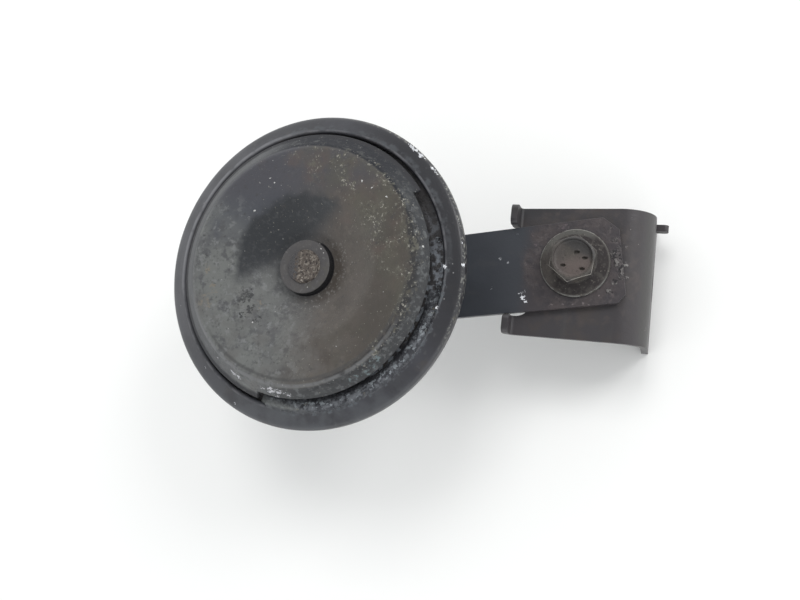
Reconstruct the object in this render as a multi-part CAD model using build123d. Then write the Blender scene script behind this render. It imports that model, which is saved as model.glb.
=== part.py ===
from build123d import *
import os
from math import cos, radians, sin, tan

# Electric disc horn on its steel strap, bolted to a folded vehicle bracket.
# All lengths are millimetres and all angles degrees.
# The row's origin is the centre of the bracket's fixing hole, on the outer face of its leg.
# +X leaves the hole, away from the horn, and +Z runs along the horn's axis, the way it faces.
# The horn is drawn about its own axis, with height zero at the outer edge of its rim.

# Vehicle bracket
bracket_sheet = 2.0
plate_height = 15.5
plate_reach = 19.5
leg_length = 26.0
leg_bend_radius = 9.5
leg_flare = 0.8
ear_width = 5.85
ear_rise = 6.0
short_ear_drop = 1.5
ear_bend_radius = 3.0
ear_corner_radius = 1.8
ear_play = 0.35
notch_depth = 7.5
notch_radius = 4.6
fixing_hole_radius = 4.5
lug_reach = 3.5
lug_width = 3.2
lug_end_radius = 1.3

# Strap and the bolt that holds it to the bracket
strap_sheet = 2.3
strap_width = 25.5
strap_end_length = 13.2
strap_corner_cut = 2.4
strap_upper_cut = 4.2
bolt_reach = 70.5
bolt_setback = 21.4
bolt_offset = 2.7
strap_yaw = 9.5
thread_radius = 4.0
bolt_length = 16.0
bolt_hole_play = 0.5
bolt_flange_radius = 10.0
bolt_flange_edge = 1.1
bolt_flange_rise = 1.5
bolt_head_height = 7.8
bolt_head_flats = 12.0
bolt_head_turn = 11.8
bolt_head_dish = 1.0
bolt_dish_margin = 0.55
bolt_dish_bend = 0.8
dimple_radius = 0.5
dimple_depth = 0.5
weld_nut_flats = 13.0
weld_nut_height = 6.5
thread_end_chamfer = 0.8

# Places of the four dimples in the bolt head, as shares of its dished top's radius
dimple_shares = [(-0.475, -0.378), (0.505, -0.527), (0.606, 0.055), (0.174, 0.349)]

# Rim, gasket and diaphragm
rim_lip_width = 5.6
rim_lip_rise = 2.3
rim_lip_crown = 0.5
rim_sheet = 0.9
rim_shoulder_drop = 1.4
rim_hem_width = 3.6
rim_edge_radius = 1.2
rim_hem_radius = 2.0
clamp_width = 6.1
clamp_depth = 0.3
diaphragm_sheet = 0.4
diaphragm_wave_depth = 1.2
diaphragm_wave_margin = 1.8
diaphragm_wave_width = 6.0
gasket_thickness = 0.5
rim_play = 0.2

# Pressed housing
housing_sheet = 1.2
horn_depth = 29.7
shelf_margin = 3.5
shelf_depth = 7.5
pan_bend_radius = 3.0
flange_bend_radius = 2.2

# Sounding parts that move together
disc_sheet = 1.0
disc_gap = 2.6
disc_edge_height = 5.1
disc_flange_width = 3.4
disc_fold_height = 8.7
disc_crown_share = 0.66
disc_crown_height = 7.6
disc_seat_radius = 9.0
disc_seat_height = 1.55
disc_seat_bend = 2.0
disc_crown_bend = 8.0
disc_fold_bend = 1.8
armature_radius = 11.0
armature_depth = 6.1
plunger_radius = 8.7
plunger_depth = 5.4
armature_stud_radius = 4.0
stud_play = 0.1
air_gap = 0.8
hub_washer_radius = 7.45
hub_washer_thickness = 2.5
hub_washer_chamfer = 0.3
stud_head_radius = 4.8
stud_head_rise = 0.7
stud_head_crown = 0.35
disc_spacer_radius = 9.0

# Electromagnet
core_radius = 9.0
core_chamfer = 0.8
bobbin_play = 0.3
bobbin_wall = 1.2
bobbin_room = 1.9
bobbin_top_drop = 1.5
winding_depth = 11.9
winding_margin = 1.0

# Contact breaker on the shelf
breaker_angle = 90.0
breaker_station = 4.6
breaker_base_length = 6.4
breaker_base_width = 12.6
insulator_thickness = 0.8
contact_spring_sheet = 0.4
contact_spring_reach = 1.0
contact_spring_end_width = 5.0
contact_arm_sheet = 1.2
contact_arm_room = 2.2
contact_arm_end_width = 7.0
contact_setback = 3.4
contact_tip_radius = 1.9
breaker_rivet_radius = 1.2
breaker_rivet_spacing = 7.0
breaker_rivet_head_radius = 2.1
breaker_rivet_head_height = 0.9
rivet_play = 0.05
adjuster_radius = 2.0
adjuster_offset = 9.4
adjuster_head_radius = 3.3
adjuster_head_height = 2.2
adjuster_stand_off = 1.6
adjuster_slot_width = 0.9
adjuster_slot_depth = 1.1
adjuster_lobe_radius = 3.4

# Connector behind the shelf, on the side away from the bracket
connector_angle = 170.5
connector_gap = 2.0
connector_length = 14.7
connector_width = 20.0
connector_height = 11.0
connector_wall = 1.5
connector_back_wall = 5.0
connector_edge_radius = 1.0
connector_ear_width = 30.4
connector_ear_length = 7.0
connector_ear_thickness = 2.0
connector_ear_corner = 1.5
connector_latch_width = 4.0
connector_latch_length = 4.5
connector_latch_rise = 1.2
seal_thickness = 0.8
seal_margin = 0.6
seal_length = 7.4
terminal_width = 2.8
terminal_sheet = 0.8
terminal_spacing = 9.0
terminal_setback = 1.5
terminal_rise = 2.4
terminal_window_play = 0.7
connector_rivet_radius = 1.3
connector_rivet_spacing = 24.4
connector_rivet_setback = 2.3
connector_rivet_head_radius = 2.0
connector_rivet_head_height = 1.1

# Nut and washer on the rear stud
stud_nut_flats = 12.0
stud_nut_height = 6.5
lock_washer_radius = 6.9
lock_washer_thickness = 2.0
lock_washer_split = 0.9
stud_tail = 2.4

# One overrun serves every cut that passes right through.
overrun = 2.0

# Radii in the horn: the coil sets the pan's size, and the pan sets the rim's
bobbin_bore = core_radius + bobbin_play
winding_inside = bobbin_bore + bobbin_wall
winding_outside = winding_inside + winding_depth
bobbin_radius = winding_outside + winding_margin
lower_pan_radius = bobbin_radius + bobbin_room + housing_sheet
breaker_radius = lower_pan_radius + breaker_station
upper_pan_radius = breaker_radius + breaker_base_length / 2 + shelf_margin
flange_radius = upper_pan_radius + clamp_width
rim_inside = flange_radius + rim_play
rim_radius = rim_inside + rim_sheet
rim_lip_radius = rim_radius - rim_lip_width
diaphragm_wave_radius = upper_pan_radius - diaphragm_wave_margin - diaphragm_wave_width / 2
disc_radius = rim_lip_radius - disc_gap
disc_fold_radius = disc_radius - disc_flange_width
disc_crown_radius = disc_fold_radius * disc_crown_share
contact_spring_end_radius = plunger_radius + contact_spring_reach
contact_arm_end_radius = armature_radius + contact_arm_room
contact_radius = contact_arm_end_radius + contact_setback
connector_inner_radius = lower_pan_radius + connector_gap
connector_mouth_radius = connector_inner_radius + connector_length
connector_rivet_station = connector_inner_radius + connector_rivet_setback

# Heights in the horn, down from the rim's outer edge
lip_top = rim_lip_rise
diaphragm_top = -clamp_depth
diaphragm_bottom = diaphragm_top - diaphragm_sheet
flange_top = diaphragm_bottom - gasket_thickness
flange_bottom = flange_top - housing_sheet
rim_bottom = flange_bottom - rim_sheet
shelf_top = flange_top - shelf_depth
shelf_bottom = shelf_top - housing_sheet
bobbin_top = shelf_top - bobbin_top_drop
back_outside = -horn_depth
back_inside = back_outside + housing_sheet
strap_back = back_outside - strap_sheet
lock_washer_back = strap_back - lock_washer_thickness
stud_nut_back = lock_washer_back - stud_nut_height
stud_end = stud_nut_back - stud_tail
armature_shoulder = diaphragm_bottom - armature_depth
plunger_end = armature_shoulder - plunger_depth
core_top = plunger_end - air_gap
disc_seat_bottom = disc_seat_height - disc_sheet
hub_washer_top = disc_seat_height + hub_washer_thickness

# Heights of the contact breaker, up from the shelf
lower_insulator_top = shelf_top + insulator_thickness
spring_top = lower_insulator_top + contact_spring_sheet
upper_insulator_top = spring_top + insulator_thickness
arm_top = upper_insulator_top + contact_arm_sheet
contact_plane = (spring_top + upper_insulator_top) / 2

# Heights of the connector, down from the shelf
connector_top = shelf_bottom - seal_thickness
connector_bottom = connector_top - connector_height
terminal_height = (connector_top + connector_bottom) / 2
terminal_station = connector_inner_radius + terminal_setback
socket_floor = connector_inner_radius + connector_back_wall

# The bracket's plate, and the place of the horn over it
plate_bottom = plate_height - bracket_sheet
leg_end = plate_height - leg_length
strap_span = strap_width / cos(radians(strap_yaw)) + bracket_sheet * tan(radians(strap_yaw))
bracket_width = strap_span + 2 * (ear_play + ear_width)
ear_outside = -bolt_setback - plate_reach
horn_x = -bolt_setback - bolt_reach * cos(radians(strap_yaw))
horn_y = bolt_offset - bolt_reach * sin(radians(strap_yaw))
horn_z = plate_height + strap_sheet + horn_depth
horn_place = Location((horn_x, horn_y, horn_z), (0, 0, strap_yaw))


def at_height(height):
    return Plane.XY.offset(height)


def post(radius, bottom, top):
    stand = (Align.CENTER, Align.CENTER, Align.MIN)
    return Pos(0, 0, bottom) * Cylinder(radius, top - bottom, align=stand)


def washer(outer_radius, inner_radius, bottom, top):
    face = Circle(outer_radius) - Circle(inner_radius)
    return extrude(at_height(bottom) * face, amount=top - bottom)


def turned(outline):
    # The outline's first direction is the radius and its second is the height.
    return revolve(Plane.XZ * outline, Axis.Z)


def sheet_path(points, bends, sheet):
    # A pressed sheet's section, from the line half way through its thickness.
    return trace(FilletPolyline(*points, radius=bends), sheet)


def block(low, high):
    # A block between two corners.
    size = [end - start for start, end in zip(low, high)]
    middle = [(start + end) / 2 for start, end in zip(low, high)]
    return Pos(*middle) * Box(*size)


def hexagon(flats, bottom, top, turn=0):
    outline = Rot(0, 0, turn) * RegularPolygon(flats / 2, 6, major_radius=False)
    return extrude(at_height(bottom) * outline, amount=top - bottom)


def chamfered_hexagon(flats, bottom, top, turn=0):
    # A nut's or bolt head's corners are turned off by a cone at both ends.
    corner = flats / 2 / cos(radians(30))
    drop = (corner - flats / 2) * tan(radians(30))
    outline = Polyline(
        (0, bottom),
        (flats / 2, bottom),
        (corner, bottom + drop),
        (corner, top - drop),
        (flats / 2, top),
        (0, top),
        close=True,
    )
    return hexagon(flats, bottom, top, turn) & turned(make_face(outline))


def nearest_corner(face, corner):
    # Rounding one corner of an outline makes its other corners anew.
    return face.vertices().sort_by_distance(corner)[0]


def make_housing_shell():
    middle = housing_sheet / 2
    path = [
        (flange_radius, flange_top - middle),
        (upper_pan_radius - middle, flange_top - middle),
        (upper_pan_radius - middle, shelf_top - middle),
        (lower_pan_radius - middle, shelf_top - middle),
        (lower_pan_radius - middle, back_outside + middle),
        (0, back_outside + middle),
    ]
    bends = [
        flange_bend_radius - middle,
        pan_bend_radius - middle,
        pan_bend_radius - middle,
        pan_bend_radius - middle,
    ]
    shell = turned(sheet_path(path, bends, housing_sheet))
    shell -= post(thread_radius + stud_play, back_outside - overrun, back_inside + overrun)
    shelf_cut = housing_sheet + 2 * overrun
    for place in breaker_rivet_places():
        hole = post(breaker_rivet_radius + rivet_play, 0, shelf_cut)
        shell -= place * Pos(0, 0, shelf_bottom - overrun) * hole
    adjuster_hole = post(adjuster_radius + rivet_play, 0, shelf_cut)
    shell -= adjuster_place() * Pos(0, 0, shelf_bottom - overrun) * adjuster_hole
    for place in connector_rivet_places():
        hole = post(connector_rivet_radius + rivet_play, 0, shelf_cut)
        shell -= place * Pos(0, 0, shelf_bottom - overrun) * hole
    shell -= terminal_window(shelf_bottom - overrun, shelf_top + overrun)
    return shell


def make_rim_ring():
    # The lip stands on the diaphragm, and the hem is rolled tight under the pan's flange.
    lip_outside = rim_lip_radius + rim_sheet
    shoulder = lip_top - rim_shoulder_drop
    outline = Polyline(
        (rim_lip_radius, diaphragm_top),
        (rim_lip_radius, lip_top),
        (rim_radius, shoulder),
        (rim_radius, rim_bottom),
        (rim_radius - rim_hem_width, rim_bottom),
        (rim_radius - rim_hem_width, flange_bottom),
        (rim_inside, flange_bottom),
        (rim_inside, shoulder - rim_sheet),
        (lip_outside, lip_top - rim_sheet),
        (lip_outside, diaphragm_top),
        close=True,
    )
    face = make_face(outline)
    crown = face.vertices().sort_by(Axis.Y)[-1]
    hem, edge = face.vertices().group_by(Axis.X)[-1].sort_by(Axis.Y)
    face = fillet(crown, rim_lip_crown)
    face = fillet(nearest_corner(face, edge), rim_edge_radius)
    face = fillet(nearest_corner(face, hem), rim_hem_radius)
    return turned(face)


def make_rim_gasket():
    return washer(flange_radius, upper_pan_radius, flange_top, diaphragm_bottom)


def make_diaphragm():
    middle = diaphragm_top - diaphragm_sheet / 2
    half_wave = diaphragm_wave_width / 2
    hole = armature_stud_radius + stud_play
    path = [
        (hole, middle),
        (diaphragm_wave_radius - half_wave, middle),
        (diaphragm_wave_radius, middle - diaphragm_wave_depth),
        (diaphragm_wave_radius + half_wave, middle),
        (flange_radius, middle),
    ]
    return turned(sheet_path(path, half_wave, diaphragm_sheet))


def make_tone_disc():
    middle = disc_sheet / 2
    hole = armature_stud_radius + rivet_play
    path = [
        (hole, disc_seat_height - middle),
        (disc_seat_radius, disc_seat_height - middle),
        (disc_crown_radius, disc_crown_height - middle),
        (disc_fold_radius, disc_fold_height - middle),
        (disc_radius - middle, disc_edge_height - middle),
    ]
    bends = [disc_seat_bend, disc_crown_bend, disc_fold_bend]
    return turned(sheet_path(path, bends, disc_sheet))


def make_armature():
    # One turned piece: shoulder, plunger, and the stud peened over on the hub washer.
    piece = post(armature_radius, armature_shoulder, diaphragm_bottom)
    piece += post(plunger_radius, plunger_end, armature_shoulder)
    piece += post(armature_stud_radius, diaphragm_bottom, hub_washer_top)
    head = post(stud_head_radius, hub_washer_top, hub_washer_top + stud_head_rise)
    head = fillet(head.edges().group_by(Axis.Z)[-1], stud_head_crown)
    return piece + head


def make_hub_washer():
    piece = washer(
        hub_washer_radius,
        armature_stud_radius + rivet_play,
        disc_seat_height,
        hub_washer_top,
    )
    rim = piece.edges().group_by(Axis.Z)[-1].sort_by(SortBy.LENGTH)[-1]
    return chamfer(rim, hub_washer_chamfer)


def make_disc_spacer():
    hole = armature_stud_radius + rivet_play
    return washer(disc_spacer_radius, hole, diaphragm_top, disc_seat_bottom)


def make_pole_core():
    core = post(core_radius, back_inside, core_top)
    core = chamfer(core.edges().group_by(Axis.Z)[-1], core_chamfer)
    stud = post(thread_radius, stud_end, back_inside)
    stud = chamfer(stud.edges().group_by(Axis.Z)[0], thread_end_chamfer)
    return core + stud


def make_coil_bobbin():
    tube = washer(winding_inside, bobbin_bore, back_inside, bobbin_top)
    lower = washer(bobbin_radius, bobbin_bore, back_inside, back_inside + bobbin_wall)
    upper = washer(bobbin_radius, bobbin_bore, bobbin_top - bobbin_wall, bobbin_top)
    return tube + lower + upper


def make_coil_winding():
    bottom = back_inside + bobbin_wall
    return washer(winding_outside, winding_inside, bottom, bobbin_top - bobbin_wall)


def on_breaker(along, across):
    return Rot(0, 0, breaker_angle) * Pos(along, across, 0)


def breaker_rivet_places():
    half = breaker_rivet_spacing / 2
    return [on_breaker(breaker_radius, side * half) for side in (-1, 1)]


def adjuster_place():
    return on_breaker(breaker_radius, adjuster_offset)


def breaker_strip(end_radius, end_width, bottom, top):
    # A strip that is riveted to the shelf and narrows towards the armature.
    base_outside = breaker_radius + breaker_base_length / 2
    base_inside = breaker_radius - breaker_base_length / 2
    half = breaker_base_width / 2
    half_end = end_width / 2
    taper_end = contact_radius + contact_tip_radius
    outline = Polyline(
        (base_outside, -half),
        (base_outside, half),
        (base_inside, half),
        (taper_end, half_end),
        (end_radius, half_end),
        (end_radius, -half_end),
        (taper_end, -half_end),
        (base_inside, -half),
        close=True,
    )
    strip = extrude(at_height(bottom) * make_face(outline), amount=top - bottom)
    return Rot(0, 0, breaker_angle) * strip


def pierce_for_breaker(piece, bottom, top):
    for place in breaker_rivet_places():
        piece -= place * post(breaker_rivet_radius + rivet_play, bottom - overrun, top + overrun)
    return piece


def insulator(bottom):
    half_length = breaker_base_length / 2
    half_width = breaker_base_width / 2
    top = bottom + insulator_thickness
    low = (breaker_radius - half_length, -half_width, bottom)
    high = (breaker_radius + half_length, half_width, top)
    return pierce_for_breaker(Rot(0, 0, breaker_angle) * block(low, high), bottom, top)


def make_contact_insulators():
    return Compound(children=[insulator(shelf_top), insulator(spring_top)])


def make_contact_spring():
    strip = breaker_strip(
        contact_spring_end_radius, contact_spring_end_width, lower_insulator_top, spring_top
    )
    return pierce_for_breaker(strip, lower_insulator_top, spring_top)


def make_contact_arm():
    strip = breaker_strip(
        contact_arm_end_radius, contact_arm_end_width, upper_insulator_top, arm_top
    )
    lobe = adjuster_place() * post(adjuster_lobe_radius, upper_insulator_top, arm_top)
    return pierce_for_breaker(strip + lobe, upper_insulator_top, arm_top)


def make_contact_tips():
    place = on_breaker(contact_radius, 0)
    moving = place * post(contact_tip_radius, spring_top, contact_plane)
    fixed = place * post(contact_tip_radius, contact_plane, upper_insulator_top)
    return moving, fixed


def rivet(shank_radius, head_radius, head_height, bottom, top):
    piece = post(shank_radius, bottom, top)
    piece += post(head_radius, bottom - head_height, bottom)
    piece += post(head_radius, top, top + head_height)
    ends = piece.edges().group_by(Axis.Z)
    return fillet(list(ends[0]) + list(ends[-1]), head_height / 2)


def make_breaker_rivets():
    piece = rivet(
        breaker_rivet_radius,
        breaker_rivet_head_radius,
        breaker_rivet_head_height,
        shelf_bottom,
        arm_top,
    )
    return Compound(children=[place * piece for place in breaker_rivet_places()])


def make_adjusting_screw():
    head_top = shelf_bottom - adjuster_stand_off
    head_bottom = head_top - adjuster_head_height
    screw = post(adjuster_radius, head_top, upper_insulator_top)
    screw += post(adjuster_head_radius, head_bottom, head_top)
    half = adjuster_slot_width / 2
    reach = adjuster_head_radius + overrun
    low = (-reach, -half, head_bottom - overrun)
    high = (reach, half, head_bottom + adjuster_slot_depth)
    return adjuster_place() * (screw - block(low, high))


def on_connector(along, across):
    return Rot(0, 0, connector_angle) * Pos(along, across, 0)


def connector_rivet_places():
    half = connector_rivet_spacing / 2
    return [on_connector(connector_rivet_station, side * half) for side in (-1, 1)]


def terminal_window(bottom, top):
    reach = terminal_sheet / 2 + terminal_window_play
    half = terminal_spacing / 2 + terminal_width / 2 + terminal_window_play
    low = (terminal_station - reach, -half, bottom)
    high = (terminal_station + reach, half, top)
    return Rot(0, 0, connector_angle) * block(low, high)


def terminal(side, play):
    # One blade: flat in the socket, then up through the shelf.
    across = side * terminal_spacing / 2
    half = terminal_width / 2 + play
    thick = terminal_sheet / 2 + play
    mouth = connector_mouth_radius - terminal_setback
    flat = block(
        (terminal_station - thick, across - half, terminal_height - thick),
        (mouth + play, across + half, terminal_height + thick),
    )
    riser = block(
        (terminal_station - thick, across - half, terminal_height - thick),
        (terminal_station + thick, across + half, shelf_top + terminal_rise + play),
    )
    return Rot(0, 0, connector_angle) * (flat + riser)


def make_terminal_blades():
    return Compound(children=[terminal(side, 0) for side in (-1, 1)])


def make_connector_socket():
    half = connector_width / 2
    body = block(
        (connector_inner_radius, -half, connector_bottom),
        (connector_mouth_radius, half, connector_top),
    )
    body = fillet(body.edges().filter_by(Axis.X), connector_edge_radius)
    half_ears = connector_ear_width / 2
    ears = block(
        (connector_inner_radius, -half_ears, connector_top - connector_ear_thickness),
        (connector_inner_radius + connector_ear_length, half_ears, connector_top),
    )
    ears = fillet(ears.edges().filter_by(Axis.Z), connector_ear_corner)
    latch_low = connector_mouth_radius - connector_latch_length
    latch = Polyline(
        (latch_low, connector_bottom),
        (connector_mouth_radius, connector_bottom),
        (latch_low, connector_bottom - connector_latch_rise),
        close=True,
    )
    ramp = extrude(Plane.XZ * make_face(latch), amount=connector_latch_width / 2, both=True)
    cavity = block(
        (socket_floor, connector_wall - half, connector_bottom + connector_wall),
        (connector_mouth_radius + overrun, half - connector_wall, connector_top - connector_wall),
    )
    socket = Rot(0, 0, connector_angle) * (body + ears + ramp - cavity)
    for side in (-1, 1):
        socket -= terminal(side, rivet_play)
    for place in connector_rivet_places():
        hole = post(connector_rivet_radius + rivet_play, connector_bottom, connector_top + overrun)
        socket -= place * hole
    return socket


def make_connector_seal():
    half = connector_width / 2 - seal_margin
    low = (connector_inner_radius, -half, connector_top)
    high = (connector_inner_radius + seal_length, half, shelf_bottom)
    seal = Rot(0, 0, connector_angle) * block(low, high)
    return seal - terminal_window(connector_top - overrun, shelf_bottom + overrun)


def make_connector_rivets():
    piece = rivet(
        connector_rivet_radius,
        connector_rivet_head_radius,
        connector_rivet_head_height,
        connector_top - connector_ear_thickness,
        shelf_top,
    )
    return Compound(children=[place * piece for place in connector_rivet_places()])


def make_mounting_strap():
    half = strap_width / 2
    end = bolt_reach + strap_end_length
    outline = Circle(half) + Pos(end / 2, 0) * Rectangle(end, strap_width)
    strap = extrude(at_height(strap_back) * outline, amount=strap_sheet)
    far_corners = strap.edges().filter_by(Axis.Z).group_by(Axis.X)[-1].sort_by(Axis.Y)
    strap = chamfer(far_corners[0], strap_corner_cut)
    far_corners = strap.edges().filter_by(Axis.Z).sort_by(Axis.Y)
    strap = chamfer(far_corners[-1], strap_upper_cut)
    strap -= post(thread_radius + stud_play, strap_back - overrun, back_outside + overrun)
    bolt_hole = post(thread_radius + bolt_hole_play, strap_back - overrun, back_outside + overrun)
    return strap - Pos(bolt_reach, 0, 0) * bolt_hole


def make_lock_washer():
    hole = thread_radius + stud_play
    ring = washer(lock_washer_radius, hole, lock_washer_back, strap_back)
    half = lock_washer_split / 2
    low = (0, -half, lock_washer_back - overrun)
    high = (lock_washer_radius + overrun, half, strap_back + overrun)
    return ring - block(low, high)


def make_stud_nut():
    nut = chamfered_hexagon(stud_nut_flats, stud_nut_back, lock_washer_back)
    return nut - post(thread_radius + rivet_play, stud_nut_back - overrun, lock_washer_back + overrun)


def bolt_place():
    return Pos(-bolt_setback, bolt_offset, 0)


def make_flange_bolt():
    seat = plate_height + strap_sheet
    head_top = seat + bolt_head_height
    cone_top = seat + bolt_flange_edge + bolt_flange_rise
    flange = make_face(Polyline(
        (0, seat),
        (bolt_flange_radius, seat),
        (bolt_flange_radius, seat + bolt_flange_edge),
        (bolt_head_flats / 2, cone_top),
        (0, cone_top),
        close=True,
    ))
    bolt = turned(flange)
    turn = bolt_head_turn + strap_yaw
    bolt += chamfered_hexagon(bolt_head_flats, seat, head_top, turn)
    dish = head_top - bolt_head_dish
    spread = bolt_head_flats / 2 - bolt_dish_margin
    bowl = post(spread, dish, head_top + overrun)
    bolt -= fillet(bowl.edges().group_by(Axis.Z)[0], bolt_dish_bend)
    for along_share, across_share in dimple_shares:
        spot = Pos(along_share * spread, across_share * spread, dish - dimple_depth)
        bolt -= spot * post(dimple_radius, 0, dimple_depth + overrun)
    shank = post(thread_radius, seat - bolt_length, seat)
    bolt += chamfer(shank.edges().group_by(Axis.Z)[0], thread_end_chamfer)
    return bolt_place() * bolt


def make_weld_nut():
    bottom = plate_bottom - weld_nut_height
    nut = chamfered_hexagon(weld_nut_flats, bottom, plate_bottom)
    nut -= post(thread_radius + rivet_play, bottom - overrun, plate_bottom + overrun)
    return bolt_place() * nut


def make_vehicle_bracket():
    middle = bracket_sheet / 2
    path = [
        (ear_outside + middle, plate_height + ear_rise),
        (ear_outside + middle, plate_height - middle),
        (-middle, plate_height - middle),
        (-middle, leg_end),
    ]
    bends = [ear_bend_radius - middle, leg_bend_radius - middle]
    section = Plane.XZ * sheet_path(path, bends, bracket_sheet)
    half = bracket_width / 2
    bracket = extrude(section, amount=half + leg_flare, both=True)
    bracket &= bracket_blank()
    bracket -= ear_notch()
    ear_top = plate_height + ear_rise
    low = (ear_outside - overrun, -half - overrun, ear_top - short_ear_drop)
    high = (ear_outside + ear_bend_radius, 0, ear_top + overrun)
    bracket -= block(low, high)
    tall_ear, short_ear = bracket.edges().filter_by(Axis.X).group_by(Axis.Z)[-1:-3:-1]
    bracket = fillet(list(tall_ear) + list(short_ear), ear_corner_radius)
    bolt_hole = post(thread_radius + bolt_hole_play, plate_bottom - overrun, plate_height + overrun)
    bracket -= bolt_place() * bolt_hole
    bracket -= Rot(0, 90, 0) * post(fixing_hole_radius, -bracket_sheet - overrun, overrun)
    return bracket + locating_lug()


def bracket_blank():
    # Seen from above, the plate widens from the ear to the leg along one side.
    half = bracket_width / 2
    flared = half + leg_flare
    outline = Polyline(
        (ear_outside, -half),
        (0, -half),
        (0, flared),
        (-leg_bend_radius, flared),
        (ear_outside + ear_bend_radius, half),
        (ear_outside, half),
        close=True,
    )
    height = leg_length + ear_rise
    return extrude(at_height(leg_end) * make_face(outline), amount=height)


def ear_notch():
    # The strap lies askew between the two ears, which stop it from turning.
    ear_station = -plate_reach + bracket_sheet
    strap_crossing = bolt_offset + ear_station * tan(radians(strap_yaw))
    gap = strap_span + 2 * ear_play
    length = notch_depth + overrun
    outline = Pos(ear_outside - overrun + length / 2, strap_crossing) * Rectangle(length, gap)
    inner_corners = outline.vertices().group_by(Axis.X)[-1]
    outline = fillet(inner_corners, notch_radius)
    height = ear_rise + bracket_sheet + 2 * overrun
    return extrude(at_height(plate_bottom - overrun) * outline, amount=height)


def locating_lug():
    half = lug_width / 2
    low = (-bracket_sheet, bracket_width / 2 - bracket_sheet, -half)
    high = (lug_reach, bracket_width / 2, half)
    lug = block(low, high)
    tip = lug.edges().filter_by(Axis.Y).group_by(Axis.X)[-1]
    return fillet(tip, lug_end_radius)


def main():
    moving_tip, fixed_tip = make_contact_tips()
    horn_pieces = {
        "housing_shell": make_housing_shell(),
        "rim_ring": make_rim_ring(),
        "rim_gasket": make_rim_gasket(),
        "diaphragm": make_diaphragm(),
        "tone_disc": make_tone_disc(),
        "disc_spacer": make_disc_spacer(),
        "hub_washer": make_hub_washer(),
        "armature": make_armature(),
        "pole_core": make_pole_core(),
        "coil_bobbin": make_coil_bobbin(),
        "coil_winding": make_coil_winding(),
        "contact_spring": make_contact_spring(),
        "moving_contact_tip": moving_tip,
        "fixed_contact_tip": fixed_tip,
        "fixed_contact_arm": make_contact_arm(),
        "contact_insulators": make_contact_insulators(),
        "breaker_rivets": make_breaker_rivets(),
        "adjusting_screw": make_adjusting_screw(),
        "connector_socket": make_connector_socket(),
        "connector_seal": make_connector_seal(),
        "connector_rivets": make_connector_rivets(),
        "terminal_blades": make_terminal_blades(),
        "mounting_strap": make_mounting_strap(),
        "lock_washer": make_lock_washer(),
        "stud_nut": make_stud_nut(),
    }
    bracket_pieces = {
        "vehicle_bracket": make_vehicle_bracket(),
        "weld_nut": make_weld_nut(),
        "flange_bolt": make_flange_bolt(),
    }
    os.makedirs("parts", exist_ok=True)
    for name, piece in horn_pieces.items():
        export_step(horn_place * piece, f"parts/{name}.step")
    for name, piece in bracket_pieces.items():
        export_step(piece, f"parts/{name}.step")


main()
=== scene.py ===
# %% [markdown]
# # A used car horn on its bracket
#
# The model is an electric disc horn: a black pressed housing with a crimped rim, a dished tone
# disc that is riveted to the diaphragm's centre, and a steel strap bolted to a folded bracket.
# Its pieces come as a fixed frame of solids at their real size, and this script gives them their
# finish. It adds finer meshes where a round edge or a stamped shape shows close up.

# %% Load the fixed frame
from math import atan2, cos, hypot, pi, radians, sin, tan
from random import Random

import bmesh
import bpy
from mathutils import Matrix, Vector, noise


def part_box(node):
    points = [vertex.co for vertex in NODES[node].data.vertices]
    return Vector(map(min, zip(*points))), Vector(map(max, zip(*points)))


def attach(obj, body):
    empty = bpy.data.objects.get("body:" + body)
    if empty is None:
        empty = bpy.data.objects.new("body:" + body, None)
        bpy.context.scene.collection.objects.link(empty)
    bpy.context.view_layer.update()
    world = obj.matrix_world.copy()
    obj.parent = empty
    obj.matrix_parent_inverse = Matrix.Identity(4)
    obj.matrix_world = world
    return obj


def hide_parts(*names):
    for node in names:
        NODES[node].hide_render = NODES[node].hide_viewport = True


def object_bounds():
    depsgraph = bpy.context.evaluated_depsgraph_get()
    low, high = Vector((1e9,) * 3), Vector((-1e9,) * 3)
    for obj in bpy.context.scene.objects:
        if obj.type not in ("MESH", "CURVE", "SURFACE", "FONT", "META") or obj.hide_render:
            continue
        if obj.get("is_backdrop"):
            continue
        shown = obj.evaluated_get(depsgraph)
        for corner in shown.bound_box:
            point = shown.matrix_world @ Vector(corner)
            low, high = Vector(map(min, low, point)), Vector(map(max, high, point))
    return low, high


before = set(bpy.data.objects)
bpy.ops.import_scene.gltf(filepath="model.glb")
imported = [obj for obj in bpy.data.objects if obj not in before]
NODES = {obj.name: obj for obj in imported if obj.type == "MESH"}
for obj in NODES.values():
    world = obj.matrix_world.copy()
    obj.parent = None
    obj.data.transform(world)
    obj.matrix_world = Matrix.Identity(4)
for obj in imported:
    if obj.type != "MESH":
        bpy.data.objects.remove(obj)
CAD_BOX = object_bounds()
MM = 0.001
print("nodes", len(NODES), "box", CAD_BOX)

# %% [markdown]
# ## The camera
#
# The horn lies on its back and the camera looks down on it, a little from the bracket's side.
# A camera can be turned with a tracking constraint or with angles. Here its matrix is built from
# where it stands, what it looks at and which way is up on the picture, because those three are
# easy to read and to change.

# %% Camera
IMAGE_WIDTH = 800
FOCAL_PIXELS = 749.0
SENSOR_WIDTH = 36.0
camera_place = Vector((4.05, -41.99, 235.73)) * MM
camera_aim = Vector((-63.16, -15.94, 47.5)) * MM
page_up_angle = radians(97.08)

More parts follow.
